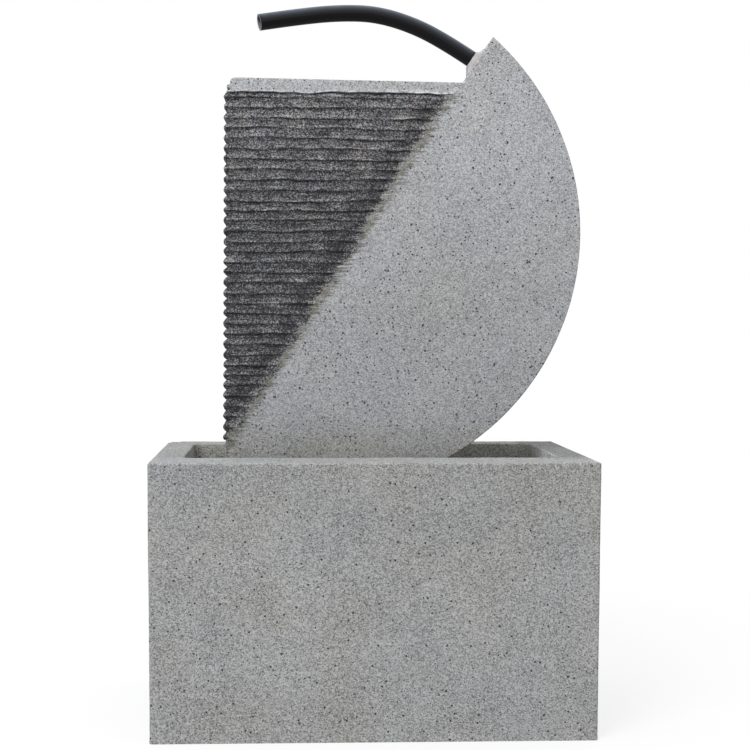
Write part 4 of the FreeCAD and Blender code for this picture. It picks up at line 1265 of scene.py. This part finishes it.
def limed_pvc_with_painted_sheen():
    material, tree, shader, place = new_material("black PVC with lime and painted sheen", {
        "Roughness": 0.3, "Specular IOR Level": 0.24,
    })
    painted_sheen = add(tree, "Attribute", {}, attribute_name="painted_sheen").outputs["Fac"]
    lime = add(tree, "Attribute", {}, attribute_name="lime").outputs["Fac"]
    film = add(tree, "TexNoise", {
        "Vector": place, "Scale": 1 / sheen_patch_width, "Detail": 5.0, "Roughness": 0.65,
    })
    patchy_sheen = add(tree, "MapRange", {
        "Value": film, "From Min": 0.3, "From Max": 0.7, "To Min": 0.75, "To Max": 1.15,
    })
    # painted highlight: bluish grey where the hose looks up, in patches
    sheen_share = add(tree, "Math", {0: painted_sheen, 1: patchy_sheen}, operation="MULTIPLY", use_clamp=True)
    outside = add(tree, "Mix", {0: sheen_share, 6: linear("#100f12"), 7: linear("#66717d")}, data_type="RGBA")
    crust = add(tree, "TexNoise", {"Vector": place, "Scale": 1 / crust_width, "Detail": 3.0})
    crusty = add(tree, "Mix", {0: crust, 6: linear("#8a8a89"), 7: linear("#c2c2c0")}, data_type="RGBA")
    colour = add(tree, "Mix", {0: lime, 6: outside, 7: crusty}, data_type="RGBA")
    dull = add(tree, "MapRange", {"Value": sheen_share, "To Min": 0.26, "To Max": 0.42})
    ripple = add(tree, "TexNoise", {"Vector": place, "Scale": 1 / ripple_width, "Detail": 2.0})
    bump = add(tree, "Bump", {"Strength": 0.4, "Distance": 0.12 * MM, "Height": ripple})
    feed(tree, shader, {"Base Color": colour, "Roughness": dull, "Normal": bump})
    return material


hose_pvc = limed_pvc_with_painted_sheen()
dress(hose, hose_pvc)

# %% [markdown]
# ## Smooth plastics and rubbers
# The seals, pads and feet are matt rubber. The pump's shells are moulded black ABS with a
# spark-eroded grain, the dial is blue acetal, a little glossier, and the resin round the coil
# is cast and shiny. All are the same kind of surface, so one recipe makes them from colour,
# gloss and grain. The real grain is a tenth of a millimetre, drawn ten times as coarse to show.

# %% Plastics and rubbers
dust_width = 30 * MM


def moulded(name, base, dust, roughness, gloss, grain, depth, dust_share=0.35):
    """A moulded or extruded plastic or rubber, with a fine grain and a patchy film of dust."""
    material, tree, shader, place = new_material(name, {"Roughness": roughness, "Specular IOR Level": gloss})
    film = add(tree, "TexNoise", {
        "Vector": place, "Scale": 1 / dust_width, "Detail": 5.0, "Roughness": 0.65,
    })
    dusty = add(tree, "MapRange", {"Value": film, "From Min": 0.4, "From Max": 0.75, "To Max": dust_share})
    colour = add(tree, "Mix", {0: dusty, 6: linear(base), 7: linear(dust)}, data_type="RGBA")
    dull = add(tree, "MapRange", {
        "Value": film, "From Min": 0.35, "From Max": 0.7,
        "To Min": roughness - 0.06, "To Max": roughness + 0.1,
    })
    texture = add(tree, "TexNoise", {"Vector": place, "Scale": 1 / grain, "Detail": 2.0})
    bump = add(tree, "Bump", {"Strength": 0.4, "Distance": depth, "Height": texture})
    feed(tree, shader, {"Base Color": colour, "Roughness": dull, "Normal": bump})
    return material


seal_rubber = moulded(
    "matt EPDM rubber", base="#1e1e1f", dust="#4a4a48", roughness=0.78, gloss=0.3,
    grain=1.5 * MM, depth=0.1 * MM,
)
pump_plastic = moulded(
    "spark-grained black ABS", base="#17181a", dust="#3a3c3d", roughness=0.5, gloss=0.45,
    grain=1.2 * MM, depth=0.12 * MM,
)
dial_plastic = moulded(
    "moulded blue acetal", base="#1f4f86", dust="#5d7796", roughness=0.4, gloss=0.5,
    grain=1.5 * MM, depth=0.06 * MM, dust_share=0.25,
)
potting_resin = moulded(
    "cast epoxy resin", base="#161617", dust="#2b2b2b", roughness=0.22, gloss=0.5,
    grain=9 * MM, depth=0.1 * MM, dust_share=0.3,
)

# %% [markdown]
# ## Metals, magnet and shaft
# The drain is turned brass, dulled to brown in patches. The pins, clamp and screws are drawn
# stainless steel. The stator is a stack of half-millimetre sheets, and its coil is wound from
# enamelled wire, so both show fine parallel lines. A band texture draws such lines on all of
# them. Ferrite and ceramic are ground, not drawn: they have fine specks and no lines.

# %% Metals
wave_period = 0.314
patch_width = 14 * MM


def worn_metal(name, bright, dull, roughness, line_width, line_axis, line_depth):
    """A metal with duller patches and fine lines. At a scale of 1 a line takes wave_period metres."""
    material, tree, shader, place = new_material(name, {"Roughness": roughness, "Metallic": 1.0})
    share = patches(tree, place, patch_width, 4.0, 0.42, 0.68)
    colour = add(tree, "Mix", {0: share, 6: linear(bright), 7: linear(dull)}, data_type="RGBA")
    rough = add(tree, "MapRange", {
        "Value": share, "To Min": roughness, "To Max": min(1.0, roughness + 0.22),
    })
    lines = add(tree, "TexWave", {"Vector": place, "Scale": wave_period / line_width, "Distortion": 0.4},
                bands_direction=line_axis)
    bump = add(tree, "Bump", {"Strength": 0.5, "Distance": line_depth, "Height": lines.outputs["Fac"]})
    feed(tree, shader, {"Base Color": colour, "Roughness": rough, "Normal": bump})
    return material


brass = worn_metal(
    "turned brass", bright="#c8a560", dull="#7a5f38", roughness=0.32,
    line_width=0.6 * MM, line_axis="Y", line_depth=0.05 * MM,
)
stainless = worn_metal(
    "drawn stainless steel", bright="#cfd0d0", dull="#a3a4a4", roughness=0.28,
    line_width=0.5 * MM, line_axis="Z", line_depth=0.02 * MM,
)
core_steel = worn_metal(
    "stacked core sheet", bright="#8f9093", dull="#5f6064", roughness=0.4,
    line_width=0.5 * MM, line_axis="X", line_depth=0.12 * MM,
)
copper_wire = worn_metal(
    "enamelled copper wire", bright="#b8693b", dull="#8a4a28", roughness=0.25,
    line_width=0.6 * MM, line_axis="X", line_depth=0.2 * MM,
)


# %% Magnet and shaft
def ground(name, base, speck, roughness, gloss, speck_width, share):
    """A ground hard material with fine specks of another tone."""
    material, tree, shader, place = new_material(name, {"Roughness": roughness, "Specular IOR Level": gloss})
    cells = add(tree, "TexVoronoi", {"Vector": place, "Scale": 1 / speck_width})
    dice = add(tree, "SeparateColor", {"Color": cells.outputs["Color"]})
    chosen = add(tree, "Math", {0: dice.outputs["Red"], 1: share}, operation="LESS_THAN")
    colour = add(tree, "Mix", {0: chosen, 6: linear(base), 7: linear(speck)}, data_type="RGBA")
    bump = add(tree, "Bump", {"Strength": 0.2, "Distance": 0.05 * MM, "Height": cells.outputs["Distance"]})
    feed(tree, shader, {"Base Color": colour, "Normal": bump})
    return material


ferrite = ground(
    "sintered ferrite", base="#2f2f32", speck="#47474a", roughness=0.45, gloss=0.5,
    speck_width=0.7 * MM, share=0.25,
)
shaft_ceramic = ground(
    "ground alumina ceramic", base="#ecebe6", speck="#d9d8d2", roughness=0.25, gloss=0.6,
    speck_width=0.8 * MM, share=0.15,
)

# %% [markdown]
# ## Finish of the loaded pieces
# The pieces that are already the right shape keep it and only get their material. Each could
# be dressed by name, but each loaded piece says which slot it takes, so one table is enough.

# %% Dress the loaded pieces
finishes = {
    "brass": brass, "stainless": stainless, "seal_rubber": seal_rubber, "hose_rubber": hose_pvc,
    "pump_plastic": pump_plastic, "dial_plastic": dial_plastic, "potting": potting_resin,
    "core_steel": core_steel, "copper_wire": copper_wire, "ferrite": ferrite,
    "shaft_ceramic": shaft_ceramic, "plinth_concrete": plinth_concrete,
    "trough_concrete": trough_concrete, "slab_concrete": slab_concrete,
    "stained_concrete": stained_concrete, "mortar": mortar,
}
for subpart in frame["record"]["subparts"]:
    dress(frame["nodes"][subpart["node"]], finishes[subpart["material_slot"]])

# %% [markdown]
# ## Floor, backdrop and light
# The picture is cut out on white. A bright lamp on a white floor would bleach the stone, so a
# pale floor and a white sky that only the camera and the glossy pieces see give the same
# ground. The object itself is lit by a soft grey sky and by one large soft lamp, above and to
# the left, which leaves the inside of the trough dark on the right of the slab.

# %% Floor
floor_size = 30
near_reach, far_reach = 0.3, 1.3

bpy.ops.object.select_all(action="DESELECT")
bpy.ops.mesh.primitive_plane_add(size=floor_size)
floor = bpy.context.object
floor.name = "floor"
floor_material, tree, shader, place = new_material("pale studio floor", {"Roughness": 0.9})
paths = add(tree, "LightPath", {})
scuffs = add(tree, "TexNoise", {"Vector": place, "Scale": 1 / (500 * MM), "Detail": 3.0})
matt = add(tree, "Mix", {0: scuffs, 6: linear("#8e8e8e"), 7: linear("#949494")}, data_type="RGBA")
seen_colour = add(tree, "Mix", {0: paths.outputs["Is Camera Ray"], 6: matt, 7: linear("#f2f2f2")},
                  data_type="RGBA")
feed(tree, shader, {"Base Color": seen_colour})
glow = add(tree, "Emission", {"Color": (1, 1, 1, 1), "Strength": 1.0})
distance = add(tree, "VectorMath", {0: place}, operation="LENGTH")
clear = add(tree, "MapRange", {
    "Value": distance.outputs["Value"], "From Min": near_reach, "From Max": far_reach, "To Min": 0.75,
}, interpolation_type="SMOOTHSTEP")
seen = add(tree, "Math", {0: paths.outputs["Is Camera Ray"], 1: clear}, operation="MULTIPLY")
mixed = add(tree, "MixShader", {0: seen, 1: shader, 2: glow})
feed(tree, tree.nodes["Material Output"], {"Surface": mixed})
dress(floor, floor_material)

# %% Sky
world = bpy.data.worlds.new("studio sky")
bpy.context.scene.world = world
world.use_nodes = True
tree = world.node_tree
tree.nodes.clear()
paths = add(tree, "LightPath", {})
mirrored = add(tree, "Math", {0: paths.outputs["Is Glossy Ray"], 1: paths.outputs["Is Transmission Ray"]},
               operation="MAXIMUM")
white_seen = add(tree, "Math", {0: mirrored, 1: paths.outputs["Is Camera Ray"]}, operation="MAXIMUM")
soft_sky = add(tree, "Background", {"Color": linear("#fbfcff"), "Strength": 0.93})
white_sky = add(tree, "Background", {"Color": (1, 1, 1, 1), "Strength": 1.0})
sky = add(tree, "MixShader", {0: white_seen, 1: soft_sky, 2: white_sky})
add(tree, "OutputWorld", {"Surface": sky})

# %% Lamp
lamp_place = (-2.8, -3.4, 4.0)
lamp_size = 2.7
lamp_watts = 180
lit_point = Vector((0, 0, 0.7))

bpy.ops.object.light_add(type="AREA", location=lamp_place)
lamp = bpy.context.object
lamp.data.shape = "SQUARE"
lamp.data.size = lamp_size
lamp.data.energy = lamp_watts
lamp.rotation_euler = (lit_point - lamp.location).to_track_quat("-Z", "Y").to_euler()
bpy.context.scene.view_settings.view_transform = "Standard"
print("lamp, metres away:", round((lit_point - lamp.location).length, 1))
